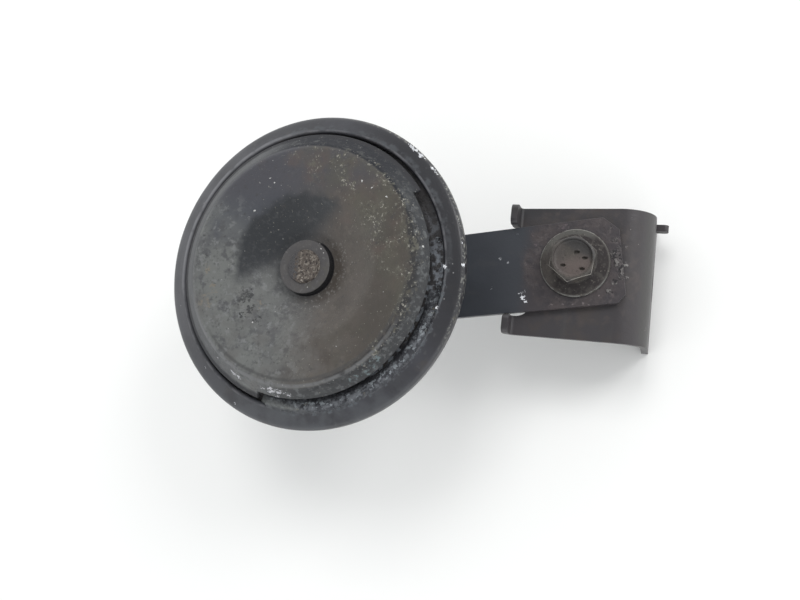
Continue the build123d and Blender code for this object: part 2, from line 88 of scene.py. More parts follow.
forward = (camera_aim - camera_place).normalized()
page_up = Vector((cos(page_up_angle), sin(page_up_angle), 0))
right = forward.cross(page_up).normalized()
up = right.cross(forward)
camera_data = bpy.data.cameras.new("camera")
camera_data.sensor_width = SENSOR_WIDTH
camera_data.lens = FOCAL_PIXELS * SENSOR_WIDTH / IMAGE_WIDTH
camera_data.shift_y = 0.00045
camera_data.clip_start = 0.01
camera = bpy.data.objects.new("camera", camera_data)
bpy.context.scene.collection.objects.link(camera)
turn = Matrix((right, up, -forward)).transposed().to_4x4()
camera.matrix_world = Matrix.Translation(camera_place) @ turn
bpy.context.scene.camera = camera
print("lens", round(camera_data.lens, 2), "distance", (camera_aim - camera_place).length)

# %% [markdown]
# ## The light
#
# Glossy black paint has little colour of its own, so most of what is seen on it is what it
# reflects. A room's sky is therefore made first: bright near the horizon, where white walls stand,
# and darker overhead. A gradient on the view direction does this with four nodes, where a picture
# of a room would need a file. A low lamp to the right draws the glints. A second one stands above
# the picture and throws the shadow in front of the disc. It is hidden from reflections, because as
# a mirror image it would lie right on the rim.

# %% Sky
HORIZON_LIGHT = 2.1
OVERHEAD_LIGHT = 0.5
world = bpy.data.worlds.new("studio")
bpy.context.scene.world = world
world.use_nodes = True
sky = world.node_tree
background = sky.nodes["Background"]
direction = sky.nodes.new("ShaderNodeTexCoord")
split = sky.nodes.new("ShaderNodeSeparateXYZ")
fade = sky.nodes.new("ShaderNodeMapRange")
fade.inputs["From Max"].default_value = 0.9
fade.inputs["To Min"].default_value = HORIZON_LIGHT
fade.inputs["To Max"].default_value = OVERHEAD_LIGHT
sky.links.new(direction.outputs["Generated"], split.inputs["Vector"])
sky.links.new(split.outputs["Z"], fade.inputs["Value"])
sky.links.new(fade.outputs["Result"], background.inputs["Strength"])
background.inputs["Color"].default_value = (0.97, 0.985, 1.0, 1)
print("sky from", HORIZON_LIGHT, "to", OVERHEAD_LIGHT)


# %% Lamps
def add_lamp(name, place, size, power):
    data = bpy.data.lights.new(name, "AREA")
    data.size = size
    data.energy = power
    lamp = bpy.data.objects.new(name, data)
    bpy.context.scene.collection.objects.link(lamp)
    lamp.location = place
    aim = Vector((-0.06, 0, 0))
    lamp.rotation_euler = (aim - lamp.location).to_track_quat("-Z", "Y").to_euler()
    print("lamp", name, "at", place, "power", power)
    return lamp


add_lamp("key", (0.7, 0.66, 0.85), 0.4, 4.0)
ceiling = add_lamp("ceiling", (-0.1, 0.62, 1.1), 0.5, 4.4)
ceiling.visible_glossy = False
bpy.context.scene.view_settings.view_transform = "Standard"

# %% Floor
floor_height = CAD_BOX[0][2]
bm = bmesh.new()
bmesh.ops.create_grid(bm, x_segments=1, y_segments=1, size=3.0)
bmesh.ops.translate(bm, verts=bm.verts, vec=(0, 0, floor_height))
floor_mesh = bpy.data.meshes.new("floor")
bm.to_mesh(floor_mesh)
bm.free()
floor = bpy.data.objects.new("floor", floor_mesh)
bpy.context.scene.collection.objects.link(floor)
floor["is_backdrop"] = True
floor_material = bpy.data.materials.new("floor")
floor_material.use_nodes = True
floor_shader = floor_material.node_tree.nodes["Principled BSDF"]
floor_shader.inputs["Base Color"].default_value = (0.86, 0.86, 0.845, 1)
floor_shader.inputs["Roughness"].default_value = 0.8
floor_shader.inputs["Specular IOR Level"].default_value = 0.0
floor_mesh.materials.append(floor_material)
print("floor at", floor_height)

# %% [markdown]
# ## Where the pieces are drawn
#
# The horn stands turned on its strap, far from the frame's origin. It is easiest to draw it in
# millimetres about its own axis, with height zero at the rim's outer edge, and to move the finished
# mesh once. The place is read from the rim's own box, so it can't drift away from the solids.

# %% The horn's own place
STRAP_YAW = radians(9.5)
RIM_BACK = -3.3
rim_low, rim_high = (Vector(corner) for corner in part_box("rim_ring"))
horn_centre = (rim_low + rim_high) / 2
horn_centre.z = rim_low.z - RIM_BACK * MM
HORN = Matrix.Translation(horn_centre) @ Matrix.Rotation(STRAP_YAW, 4, "Z") @ Matrix.Scale(MM, 4)
BOLT_AXIS = Vector((-21.4, 2.7, 0))
AT_BOLT = Matrix.Scale(MM, 4) @ Matrix.Translation(BOLT_AXIS)
print("horn centre in mm", tuple(round(value / MM, 2) for value in horn_centre))

# %% [markdown]
# ## Turned shapes
#
# Rim, disc, washer and diaphragm are all round about one axis. They could each be a stack of
# circles, but a wire outline that is spun once is closer to how such a part is drawn. Each point of
# an outline has a radius, a height and the length that its rounding takes from either side, so the
# corner is rounded while it is still a wire, where a bevel can't fail.


# %% Outline and spin helpers
def draw_outline(points, closed):
    """Points are (radius, height, rounding). Returns a bmesh that holds the rounded wire."""
    bm = bmesh.new()
    corners = [bm.verts.new((radius, 0, height)) for radius, height, rounding in points]
    for start, end in zip(corners, corners[1:]):
        bm.edges.new((start, end))
    if closed:
        bm.edges.new((corners[-1], corners[0]))
    for corner, (radius, height, rounding) in zip(corners, points):
        if rounding:
            bmesh.ops.bevel(
                bm, geom=[corner], offset=rounding, offset_type="OFFSET", segments=5,
                profile=0.5, affect="VERTICES", material=-1,
            )
    return bm


def divide_long_edges(bm, longest):
    """Cuts every edge that is longer than the given length, so that a dent can bend it."""
    for edge in list(bm.edges):
        cuts = int(edge.calc_length() / longest)
        if cuts:
            bmesh.ops.subdivide_edges(bm, edges=[edge], cuts=cuts)


def spin_round(bm, steps):
    bmesh.ops.spin(
        bm, geom=bm.verts[:] + bm.edges[:], cent=(0, 0, 0), axis=(0, 0, 1), dvec=(0, 0, 0),
        angle=2 * pi, steps=steps, use_merge=True, use_duplicate=False,
    )
    bmesh.ops.remove_doubles(bm, verts=bm.verts, dist=0.002)
    bmesh.ops.recalc_face_normals(bm, faces=bm.faces)


# %% Turning a bmesh into a piece
def make_piece(name, bm, place, body, sharp_angle=38):
    """Puts the bmesh at its place in metres, and makes it a piece that rides on a body."""
    bmesh.ops.transform(bm, matrix=place, verts=bm.verts)
    for face in bm.faces:
        face.smooth = True
    mesh = bpy.data.meshes.new(name)
    bm.to_mesh(mesh)
    bm.free()
    mesh.set_sharp_from_angle(angle=radians(sharp_angle))
    piece = bpy.data.objects.new(name, mesh)
    bpy.context.scene.collection.objects.link(piece)
    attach(piece, body)
    print(name, "faces", len(mesh.polygons))
    return piece


def thicken(piece, thickness, edge_round):
    """A sheet gets its thickness to both sides of the drawn face, then small round edges."""
    wall = piece.modifiers.new("wall", "SOLIDIFY")
    wall.thickness = thickness * MM
    wall.offset = 0
    edge = piece.modifiers.new("edge", "BEVEL")
    edge.width = edge_round * MM
    edge.segments = 3
    edge.limit_method = "ANGLE"
    edge.angle_limit = radians(60)


def uneven(bm, size, amount, seed):
    """Slow waves that a pressed and knocked sheet has, from a fixed noise."""
    offset = Vector((seed, -seed, seed / 2))
    for vert in bm.verts:
        vert.co.z += amount * noise.noise(vert.co / size + offset)


print("helpers ready")

# %% [markdown]
# ## Finishes as coats
#
# Every finish here is old paint, rust or dust on metal, so a finish is described the way that a
# painter builds it: a base colour, then coats that lie only where a mask lets them. The masks are
# small functions, such as blotches, specks, a ring round the axis or one side of the disc, and they
# can be joined. All of them read the object's own coordinates in millimetres, so nothing slides
# when the camera moves. A painted image would show the wear more exactly, but it would be tied to
# one size of picture, and this is sharp at any distance.


# %% Node helpers
def add_node(tree, kind, **settings):
    node = tree.nodes.new(kind)
    for setting, value in settings.items():
        setattr(node, setting, value)
    return node


def plug(tree, source, socket):
    if isinstance(source, bpy.types.NodeSocket):
        tree.links.new(source, socket)
    else:
        socket.default_value = source


def calc(tree, operation, *values):
    node = add_node(tree, "ShaderNodeMath", operation=operation)
    for value, socket in zip(values, node.inputs):
        plug(tree, value, socket)
    return node.outputs[0]


def vector_calc(tree, operation, *values):
    node = add_node(tree, "ShaderNodeVectorMath", operation=operation)
    for value, socket in zip(values, node.inputs):
        plug(tree, value, socket)
    return node.outputs["Value" if operation in ("LENGTH", "DISTANCE", "DOT_PRODUCT") else "Vector"]


def step_between(tree, value, low, high):
    """0 below low, 1 above high and smooth between them. It falls where low is above high."""
    node = add_node(tree, "ShaderNodeMapRange", interpolation_type="SMOOTHSTEP")
    plug(tree, value, node.inputs["Value"])
    plug(tree, low, node.inputs["From Min"])
    plug(tree, high, node.inputs["From Max"])
    return node.outputs["Result"]


# %% Where a pattern is centred
def centred(centre, turn=0.0):
    """A function that gives a material the object's coordinates in millimetres about a centre."""
    def frame_of(tree):
        coordinates = add_node(tree, "ShaderNodeTexCoord")
        mapping = add_node(tree, "ShaderNodeMapping", vector_type="POINT")
        mapping.inputs["Location"].default_value = -centre
        mapping.inputs["Rotation"].default_value = (0, 0, turn)
        mapping.inputs["Scale"].default_value = (1 / MM, 1 / MM, 1 / MM)
        tree.links.new(coordinates.outputs["Object"], mapping.inputs["Vector"])
        return mapping.outputs["Vector"]
    return frame_of


in_horn_frame = centred(Matrix.Rotation(-STRAP_YAW, 4, "Z") @ (horn_centre / MM), -STRAP_YAW)
at_the_bolt = centred(BOLT_AXIS)


# %% Masks
def add_cloud(tree, place, scale, detail, dimensions="3D"):
    cloud = add_node(tree, "ShaderNodeTexNoise", noise_dimensions=dimensions)
    cloud.inputs["Scale"].default_value = scale
    cloud.inputs["Detail"].default_value = detail
    plug(tree, place, cloud.inputs["Vector"])
    return cloud


def blotches(size, low, high, detail=4, seed=0, stretch=(1, 1, 1)):
    """Cloudy patches about as wide as size. A higher low leaves fewer of them."""
    def mask(tree, place):
        stretched = vector_calc(tree, "MULTIPLY", place, tuple(share / size for share in stretch))
        cloud = add_cloud(tree, stretched, 1.0, detail, "4D")
        cloud.inputs["Roughness"].default_value = 0.6
        cloud.inputs["W"].default_value = seed
        return step_between(tree, cloud.outputs[0], low, high)
    return mask


def flaky(size, low, high, seed=0):
    """Blotches with a finely broken border, as crusts and flaking have."""
    return blotches(size, low, high, detail=7, seed=seed)


def specks(spacing, width, share, seed=0):
    """Small round specks in a share of the cells of a loose grid. Width is a part of a cell."""
    def mask(tree, place):
        cells = add_node(tree, "ShaderNodeTexVoronoi", voronoi_dimensions="3D")
        cells.inputs["Scale"].default_value = 1 / spacing
        moved = vector_calc(tree, "ADD", place, (seed, seed, seed))
        plug(tree, moved, cells.inputs["Vector"])
        dots = step_between(tree, cells.outputs["Distance"], width, width * 0.6)
        pick = add_node(tree, "ShaderNodeSeparateColor")
        tree.links.new(cells.outputs["Color"], pick.inputs[0])
        kept = calc(tree, "LESS_THAN", pick.outputs[0], share)
        return calc(tree, "MULTIPLY", dots, kept)
    return mask


def ring(inner, outer, soft=0.4, ragged=0.0):
    """Between two radii from the axis, with a ragged border if asked."""
    def mask(tree, place):
        flat = vector_calc(tree, "MULTIPLY", place, (1, 1, 0))
        radius = vector_calc(tree, "LENGTH", flat)
        if ragged:
            cloud = add_cloud(tree, place, 0.35, 5)
            wave = calc(tree, "MULTIPLY_ADD", cloud.outputs[0], 2 * ragged, -ragged)
            radius = calc(tree, "ADD", radius, wave)
        inside = step_between(tree, radius, inner - soft, inner + soft)
        outside = step_between(tree, radius, outer + soft, outer - soft)
        return calc(tree, "MULTIPLY", inside, outside)
    return mask


def side(angle, start, end):
    """Grows from 0 to 1 between two distances along a direction, in degrees round the axis."""
    def mask(tree, place):
        toward = (cos(radians(angle)), sin(radians(angle)), 0)
        along = vector_calc(tree, "DOT_PRODUCT", place, toward)
        return step_between(tree, along, start, end)
    return mask


def above(low, high):
    """Grows from 0 to 1 between two heights, or falls if low is above high."""
    def mask(tree, place):
        parts = add_node(tree, "ShaderNodeSeparateXYZ")
        tree.links.new(place, parts.inputs[0])
        return step_between(tree, parts.outputs["Z"], low, high)
    return mask


def marks(spots, ragged=0.7):
    """Single marks at chosen places. Each spot is (x, y, z, radius), all in millimetres."""
    def mask(tree, place):
        cloud = add_cloud(tree, place, 1.3, 4)
        middle = vector_calc(tree, "SUBTRACT", cloud.outputs[1], (0.5, 0.5, 0.5))
        wander = vector_calc(tree, "MULTIPLY", middle, (3 * ragged, 3 * ragged, 3 * ragged))
        torn = vector_calc(tree, "ADD", place, wander)
        total = 0.0
        for x, y, z, radius in spots:
            away = vector_calc(tree, "DISTANCE", torn, (x, y, z))
            total = calc(tree, "MAXIMUM", total, step_between(tree, away, radius, radius * 0.7))
        return total
    return mask


def edge_wear_and_glint(tree, place):
    """The wear attribute that a mesh carries on its sharp corners, for worn edges and for painted
    highlights on them.
    """
    return add_node(tree, "ShaderNodeAttribute", attribute_name="wear").outputs["Fac"]


def join(operation, first, *others):
    """One mask from several. A plain number among them only makes the coat thinner."""
    def mask(tree, place):
        total = first(tree, place)
        for part in others:
            total = calc(tree, operation, total, part(tree, place) if callable(part) else part)
        return total
    return mask


def meet(*parts):
    """Only where all the masks are."""
    return join("MULTIPLY", *parts)


def either(*parts):
    """Where at least one of the masks is."""
    return join("MAXIMUM", *parts)


# %% A finish from its coats
def make_finish(name, frame_of, colour, roughness, coats=(), relief=(), metal=0.0, gloss=0.5):
    """Coats are (mask, colour, roughness). Relief is (mask, height in millimetres)."""
    material = bpy.data.materials.new(name)
    material.use_nodes = True
    tree = material.node_tree
    shader = tree.nodes["Principled BSDF"]
    shader.inputs["Metallic"].default_value = metal
    shader.inputs["Specular IOR Level"].default_value = gloss
    place = frame_of(tree)
    tint = (*colour, 1)
    rough = roughness
    for mask, coat_colour, coat_roughness in coats:
        where = mask(tree, place)
        mix = add_node(tree, "ShaderNodeMix", data_type="RGBA")
        plug(tree, where, mix.inputs[0])
        plug(tree, tint, mix.inputs[6])
        plug(tree, (*coat_colour, 1), mix.inputs[7])
        tint = mix.outputs[2]
        blend = add_node(tree, "ShaderNodeMix", data_type="FLOAT")
        plug(tree, where, blend.inputs[0])
        plug(tree, rough, blend.inputs[2])
        plug(tree, coat_roughness, blend.inputs[3])
        rough = blend.outputs[0]
    plug(tree, tint, shader.inputs["Base Color"])
    plug(tree, rough, shader.inputs["Roughness"])
    height = 0.0
    for mask, rise in relief:
        height = calc(tree, "MULTIPLY_ADD", mask(tree, place), rise, height)
    if relief:
        bump = add_node(tree, "ShaderNodeBump")
        bump.inputs["Distance"].default_value = MM
        plug(tree, height, bump.inputs["Height"])
        tree.links.new(bump.outputs["Normal"], shader.inputs["Normal"])
    print("finish", name, "coats", len(coats), "nodes", len(tree.nodes))
    return material


def put_on(material, *pieces):
    """Gives the finish to new pieces, and to solids of the frame by their name."""
    for piece in pieces:
        piece = NODES[piece] if isinstance(piece, str) else piece
        if not piece.material_slots:
            piece.data.materials.append(material)
        for slot in piece.material_slots:
            slot.material = material


# %% [markdown]
# ## The rim
#
# The rim is a pressed ring that is rolled round the edge of the housing. From the front it is a
# sloping band with a raised lip inside and a well rounded hem outside. Its outline is closed, so
# the spin gives a solid ring whose rolled hem also shows from behind. A little slow noise takes
# away the look of a lathe, because the ring is rolled on by a tool and has been knocked since.

# %% Rim shape
RIM_OUTSIDE = 45.0
LIP_RADIUS = 39.4
LIP_TOP = 2.3
rim_outline = [
    (LIP_RADIUS, -0.3, 0), (LIP_RADIUS, 1.8, 0.2), (40.05, LIP_TOP, 0.3), (RIM_OUTSIDE, 0.9, 1.1),
    (RIM_OUTSIDE, RIM_BACK, 1.9), (41.4, RIM_BACK, 0.3), (41.4, -2.4, 0), (44.1, -2.4, 0),
    (44.1, 0.0, 0.5), (40.3, 1.3, 0), (40.3, -0.3, 0),
]
bm = draw_outline(rim_outline, closed=True)
divide_long_edges(bm, 1.0)
spin_round(bm, 240)
uneven(bm, 8.0, 0.05, 3.0)
rim_ring = make_piece("rim_ring_rolled", bm, HORN, "housing")
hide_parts("rim_ring")

# %% [markdown]
# The rim's paint is nearly black and half glossy. It is greyer where dust has settled, rubbed along
# the outer edge, and chipped to white corrosion where the horn was knocked. Some coats are painted
# light. The lip's crown is lighter, partly as wear and partly as a painted highlight, and the
# upper-left lip has a painted highlight. The left side is lighter as a painted reflection, and the
# right side is darker as painted shade.

# %% Rim paint
BLUE_GREY = (0.04, 0.041, 0.049)
WHITE_RUST = (0.66, 0.67, 0.7)
rim_marks = [
    (32.4, 30.4, 1.5, 0.8), (34.4, 28.3, 1.5, 0.9), (37.4, 23.8, 1.4, 0.6), (38.4, 22.8, 1.2, 0.5),
    (39.5, -4.1, 2.2, 0.6), (44.4, -4.1, 0.8, 0.35), (36.9, -14.9, 2.2, 0.4),
    (-23.4, -36.4, 1.4, 0.4), (-32.8, -25.6, 1.6, 0.2), (44.2, -1.0, 0.8, 0.25),
    (44.3, 2.2, 0.8, 0.25), (36.2, -9.2, 2.2, 0.25),
]
rim_spots = marks(rim_marks)
lower_right = meet(side(-52, 22, 34), ring(39.0, 40.9, 0.4, 0.9))
rim_paint = make_finish(
    "rim_paint", in_horn_frame, (0.027, 0.027, 0.031), 0.33,
    coats=[
        (blotches(16, 0.42, 0.68), BLUE_GREY, 0.4),
        (blotches(5, 0.54, 0.75, seed=4), (0.044, 0.041, 0.041), 0.44),
        # painted reflection: the rim's left side is lighter, in patches
        (meet(side(160, 12, 40), blotches(12, 0.3, 0.6, seed=9)), (0.05, 0.05, 0.056), 0.36),
        # painted shade: the rim's right side is darker
        (meet(side(20, 24, 38), 0.9), (0.014, 0.014, 0.017), 0.34),
        # partly wear and partly a painted highlight along the lip's crown
        (meet(ring(39.9, 40.5, 0.2), blotches(3, 0.35, 0.6, seed=2)), (0.09, 0.09, 0.097), 0.36),
        # painted highlight: a brighter, glossier line on the upper-left lip
        (meet(ring(40.0, 41.0, 0.25, 0.2), side(138, 22, 36), blotches(5, 0.25, 0.5, seed=7)),
         (0.12, 0.121, 0.13), 0.3),
        (meet(side(-92, 26, 40), flaky(6, 0.36, 0.6, seed=6)), (0.052, 0.055, 0.061), 0.46),
        (meet(ring(40.2, 41.8, 0.4, 0.8), side(55, 16, 34), flaky(2.5, 0.44, 0.58), 0.7),
         (0.052, 0.057, 0.063), 0.42),
        (meet(ring(44.3, 46, 0.25, 0.35), side(20, 20, 38), blotches(0.9, 0.52, 0.61, detail=6)),
         (0.17, 0.17, 0.155), 0.7),
        (meet(flaky(1.6, 0.6, 0.68, seed=12), 0.4), (0.07, 0.071, 0.074), 0.6),
        (meet(lower_right, flaky(1.5, 0.48, 0.6)), (0.08, 0.09, 0.1), 0.8),
        (meet(marks([(41.6, -17.9, 1.2, 1.2), (43.0, -18.6, 0.9, 0.8)], 1.2), 0.7),
         (0.085, 0.074, 0.052), 0.7),
        (specks(2.6, 0.08, 0.1), (0.2, 0.2, 0.2), 0.7),
        (rim_spots, WHITE_RUST, 0.85),
    ],
    relief=[
        (blotches(0.9, 0.3, 0.7), 0.012),
        (rim_spots, 0.08),
        (meet(lower_right, blotches(1.5, 0.52, 0.63)), 0.12),
    ],
)
put_on(rim_paint, rim_ring)

# %% [markdown]
# ## The tone disc
#
# The tone disc is a sheet of steel with a sloped flange, a nearly flat face and a crater that falls
# to the hub. It is a sheet, so only its middle surface is drawn and a Solidify modifier gives it
# both faces at an even distance, which is hard to keep by hand in an outline of two lines. For 219
# degrees the flange runs on in a flatter brim that nearly meets the rim, and elsewhere it is cut
# back and leaves an open slot. The spin can't make a part of a ring, so the brim is extruded from
# the edges under it.

# %% Tone disc shape
def polar(radius, angle, height):
    return Vector((radius * cos(radians(angle)), radius * sin(radians(angle)), height))


DISC_SHEET = 1.0
FLANGE_END = 36.3
DISH_SHIFT = polar(0.65, -25, 0)
BRIM_FROM, BRIM_TO = 27, 246
disc_line = [
    (4.05, 1.05, 0), (9.0, 1.05, 0.9), (22.0, 7.1, 1.1), (33.4, 8.2, 0.9), (FLANGE_END, 4.6, 0),
]
bm = draw_outline(disc_line, closed=False)
divide_long_edges(bm, 1.1)
spin_round(bm, 216)
for vert in bm.verts:
    reach = hypot(vert.co.x, vert.co.y)
    share = min(max(reach - 23, 0) / 9, max(FLANGE_END - reach, 0) / 2.9, 1)
    vert.co += share * DISH_SHIFT


def under_the_brim(edge):
    middle = (edge.verts[0].co + edge.verts[1].co) / 2
    turned = (atan2(middle.y, middle.x) - radians(BRIM_FROM)) % (2 * pi)
    return edge.is_boundary and middle.length > 30 and turned < radians(BRIM_TO - BRIM_FROM)


rim_edges = [edge for edge in bm.edges if under_the_brim(edge)]
for outward, drop in ((1.1, 1.1), (1.0, 0.6)):
    grown = bmesh.ops.extrude_edge_only(bm, edges=rim_edges)["geom"]
    for vert in grown:
        if isinstance(vert, bmesh.types.BMVert):
            vert.co += outward * vert.co.to_2d().normalized().to_3d() - Vector((0, 0, drop))
    new_edges = [part for part in grown if isinstance(part, bmesh.types.BMEdge)]
    rim_edges = [edge for edge in new_edges if under_the_brim(edge)]
bmesh.ops.recalc_face_normals(bm, faces=bm.faces)
print("brim edges", len(rim_edges))
uneven(bm, 9.0, 0.1, 7.0)
uneven(bm, 2.6, 0.035, 4.0)
tone_disc = make_piece("tone_disc_pressed", bm, HORN, "vibrator")
thicken(tone_disc, DISC_SHEET, 0.22)
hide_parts("tone_disc")

# %% [markdown]
# Its paint has aged most. Dust lies on the flat ring, the half towards the bracket is stained
# brown, and white and ochre salts have grown along the fold. One side of the crater is black,
# partly as clean paint and partly as painted shade. Some coats are painted light. A light line
# along the fold and a lighter flange on the left are painted highlights. The flange's top, the
# brim's outer ring and a thin ring round the washer are darkened as painted shade. Each of these is
# one coat with its own mask.

# %% Tone disc paint
SALT = (0.3, 0.29, 0.25)
PALE_SPECK = (0.38, 0.38, 0.37)
right_half = side(-8, -7, 12)
# painted highlight: a light line along the fold ridge
fold_highlight = meet(ring(32.9, 33.8, 0.3, 0.2), side(-75, -14, 12))
# the crater's black side is partly clean paint and partly painted shade
clean_and_shaded_crater = meet(ring(6.0, 20.2, 1.5, 2.2), side(119, 4.5, 10))
salt_fields = either(
    meet(flaky(5, 0.5, 0.6, seed=8), side(36, 13, 23), ring(-1, 33.2)),
    meet(ring(31.5, 34.6, 0.6, 1.6), side(2, 10, 24), blotches(4, 0.4, 0.55, seed=18)),
)
flange_marks = [
    (-9.2, -34.0, 7.2, 1.3), (-6.6, -34.6, 6.9, 1.2), (-4.4, -35.2, 6.5, 0.9),
    (-11.6, -33.2, 7.2, 0.7), (-19.3, -29.7, 6.9, 1.0), (-20.9, -28.4, 6.9, 0.8),
    (-25.7, -24.0, 6.9, 0.5), (-8.2, -36.0, 5.2, 0.9),
]
green_marks = [(18.9, -30.6, 6.6, 2.4), (21.2, -28.0, 7.2, 2.2), (14.8, -32.6, 6.8, 1.6)]
black_crust = [
    (-16.2, -6.6, 7.2, 2.4), (-18.6, -8.2, 7.4, 1.4), (-15.2, -10.8, 7.2, 1.8),
    (-13.2, -13.6, 7.2, 1.5), (-28.6, 5.4, 7.8, 0.8), (-17.6, -12.6, 7.6, 1.0),
]
ochre_spots = [
    (-28.4, -7.6, 7.8, 2.6), (-26.2, -4.2, 7.8, 1.6), (-28.0, 1.6, 7.8, 1.5),
    (-12.8, -9.0, 6.6, 1.8),
]
disc_marks = [
    (-8.2, 25.6, 8.2, 0.32), (-6.9, 24.2, 8.1, 0.3), (-10.1, 17.6, 5.6, 0.25),
    (-15.5, 15.4, 7.4, 0.3), (-13.6, 17.0, 7.4, 0.4), (19.5, 20.6, 8.3, 0.35),
    (22.3, 18.2, 8.3, 0.3), (26.4, 15.1, 8.4, 0.35), (10.4, -23.7, 8.1, 0.3),
    (17.5, -12.1, 6.9, 0.25), (34.2, 8.6, 8.1, 0.4), (34.9, 6.2, 7.4, 0.35), (35.4, 0.6, 6.9, 0.4),
    (29.9, 20.4, 6.9, 0.3), (-14.6, -14.8, 7.2, 0.25), (-13.6, -15.2, 7.2, 0.2),
]
disc_spots = marks(disc_marks, 0.4)
flange_spots = marks(flange_marks, 1.3)
crusted = meet(marks(black_crust, 1.6), flaky(1.4, 0.42, 0.54))
disc_paint = make_finish(
    "disc_paint", in_horn_frame, (0.062, 0.062, 0.064), 0.5,
    coats=[
        (meet(side(115, 0, 20), blotches(24, 0.25, 0.6)), (0.047, 0.05, 0.059), 0.46),
        (meet(side(215, 0, 18), blotches(12, 0.28, 0.56, seed=1)), (0.112, 0.116, 0.111), 0.56),
        (meet(side(222, -8, 10), blotches(3.4, 0.5, 0.62, detail=8, seed=5), 0.9),
         (0.056, 0.057, 0.06), 0.5),
        (meet(side(218, -6, 12), blotches(2.4, 0.53, 0.63, detail=8, seed=22), 0.7),
         (0.152, 0.156, 0.156), 0.6),
        (meet(side(230, -4, 14), blotches(1.1, 0.54, 0.64, detail=6, seed=15), 0.6),
         (0.05, 0.051, 0.053), 0.5),
        (meet(right_half, blotches(26, 0.22, 0.5, seed=2), 0.85), (0.064, 0.052, 0.042), 0.48),
        (meet(right_half, flaky(7, 0.48, 0.66, seed=3), 0.8), (0.044, 0.036, 0.03), 0.44),
        (meet(side(-20, 6, 24), blotches(9, 0.4, 0.62, seed=12), 0.6), (0.042, 0.039, 0.029), 0.5),
        (meet(right_half, blotches(3.0, 0.55, 0.66, detail=8, seed=24), 0.6),
         (0.086, 0.073, 0.062), 0.55),
        (meet(side(-15, 16, 26), blotches(12, 0.3, 0.55, seed=45), 0.7), (0.04, 0.034, 0.028), 0.5),
        (meet(side(88, 16, 26), blotches(14, 0.2, 0.45, seed=46), 0.8),
         (0.046, 0.045, 0.053), 0.48),
        (meet(side(40, 8, 20), flaky(6, 0.46, 0.64, seed=13), 0.5), (0.08, 0.057, 0.048), 0.5),
        (meet(side(-120, 8, 24), blotches(7, 0.44, 0.62, seed=27), 0.5),
         (0.082, 0.078, 0.075), 0.5),
        (meet(side(28, 12, 24), blotches(8, 0.38, 0.6, seed=8), 0.6), (0.062, 0.059, 0.044), 0.55),
        # partly clean black paint and partly painted shade on one side of the crater
        (meet(clean_and_shaded_crater, blotches(9, 0.22, 0.4, seed=33)), (0.019, 0.021, 0.024), 0.4),
        (meet(clean_and_shaded_crater, flaky(1.6, 0.54, 0.64, seed=34), 0.6), (0.042, 0.044, 0.047), 0.5),
        (meet(crusted, 0.9), (0.026, 0.027, 0.028), 0.55),
        (meet(marks(ochre_spots, 1.8), flaky(1.5, 0.44, 0.6), 0.6), (0.165, 0.14, 0.105), 0.65),
        # painted shade: the flange is darkened across the top
        (meet(ring(33.4, 40, 0.35), side(80, -8, 14)), (0.012, 0.013, 0.017), 0.85),
        # painted highlight: the flange is lighter on the left
        (meet(ring(33.0, 40, 0.35), side(165, 8, 22)), (0.075, 0.077, 0.08), 0.75),
        (meet(ring(34.0, 40, 0.35), side(-35, 4, 22), 0.9), (0.027, 0.029, 0.032), 0.75),
        (meet(ring(32.2, 34.9, 0.5, 0.6), side(-32, 17, 26), flaky(4, 0.36, 0.5, seed=47), 0.9),
         (0.022, 0.022, 0.024), 0.85),
        (meet(ring(33.9, 37.4, 0.4), side(-60, -10, 12), flaky(1.7, 0.5, 0.62, seed=29), 0.7),
         (0.095, 0.1, 0.102), 0.6),
        (meet(ring(33.9, 37.4, 0.4), flaky(2.6, 0.52, 0.62, seed=30), 0.75),
         (0.026, 0.028, 0.029), 0.5),
        # painted shade: the brim's outer ring is darkened all round
        (meet(ring(37.3, 40, 0.5, 0.6), 0.9), (0.018, 0.018, 0.021), 0.8),
        # painted highlight along the fold ridge, in patches
        (meet(fold_highlight, side(-110, 4, 16), blotches(4, 0.3, 0.52, seed=14), 0.8),
         (0.12, 0.122, 0.124), 0.42),
        (meet(ring(31.4, 32.2, 0.3, 0.4), side(-80, 4, 20), 0.6), (0.034, 0.034, 0.034), 0.5),
        (meet(flaky(1.3, 0.57, 0.68, seed=6), 0.6), (0.034, 0.033, 0.033), 0.5),
        (meet(blotches(1.3, 0.5, 0.6, detail=8, seed=44), salt_fields, 0.8),
         (0.092, 0.088, 0.07), 0.75),
        (meet(blotches(0.75, 0.57, 0.615, detail=8, seed=40), salt_fields, 0.75), SALT, 0.8),
        (meet(blotches(0.6, 0.64, 0.68, detail=5, seed=41), side(10, -26, 0), 0.6), SALT, 0.8),
        (meet(ring(7.8, 12.5, 0.8, 1.6), side(-35, -2, 6), flaky(0.9, 0.55, 0.63, seed=42), 0.7),
         (0.175, 0.17, 0.16), 0.7),
        # painted shadow: a black ring in the gap round the washer, on the lower right
        (meet(ring(7.0, 8.05, 0.12, 0.1), side(-30, -3, 2)), (0.004, 0.004, 0.005), 0.95),
        (meet(specks(2.1, 0.08, 0.25, 3.0), 0.6), PALE_SPECK, 0.7),
        (meet(marks(green_marks, 1.6), blotches(0.9, 0.5, 0.6, detail=6)),
         (0.11, 0.14, 0.145), 0.8),
        (meet(flange_spots, blotches(1.0, 0.36, 0.48, detail=6)), (0.44, 0.44, 0.46), 0.75),
        (disc_spots, (0.45, 0.45, 0.44), 0.8),
    ],
    relief=[
        (blotches(0.6, 0.3, 0.7), 0.022),
        (blotches(2.4, 0.3, 0.7, detail=6, seed=9), 0.06),
        (meet(flaky(0.8, 0.55, 0.63, seed=40), salt_fields), 0.1),
        (crusted, 0.12),
        (disc_spots, 0.08),
        (flange_spots, 0.08),
    ],
)
put_on(disc_paint, tone_disc)

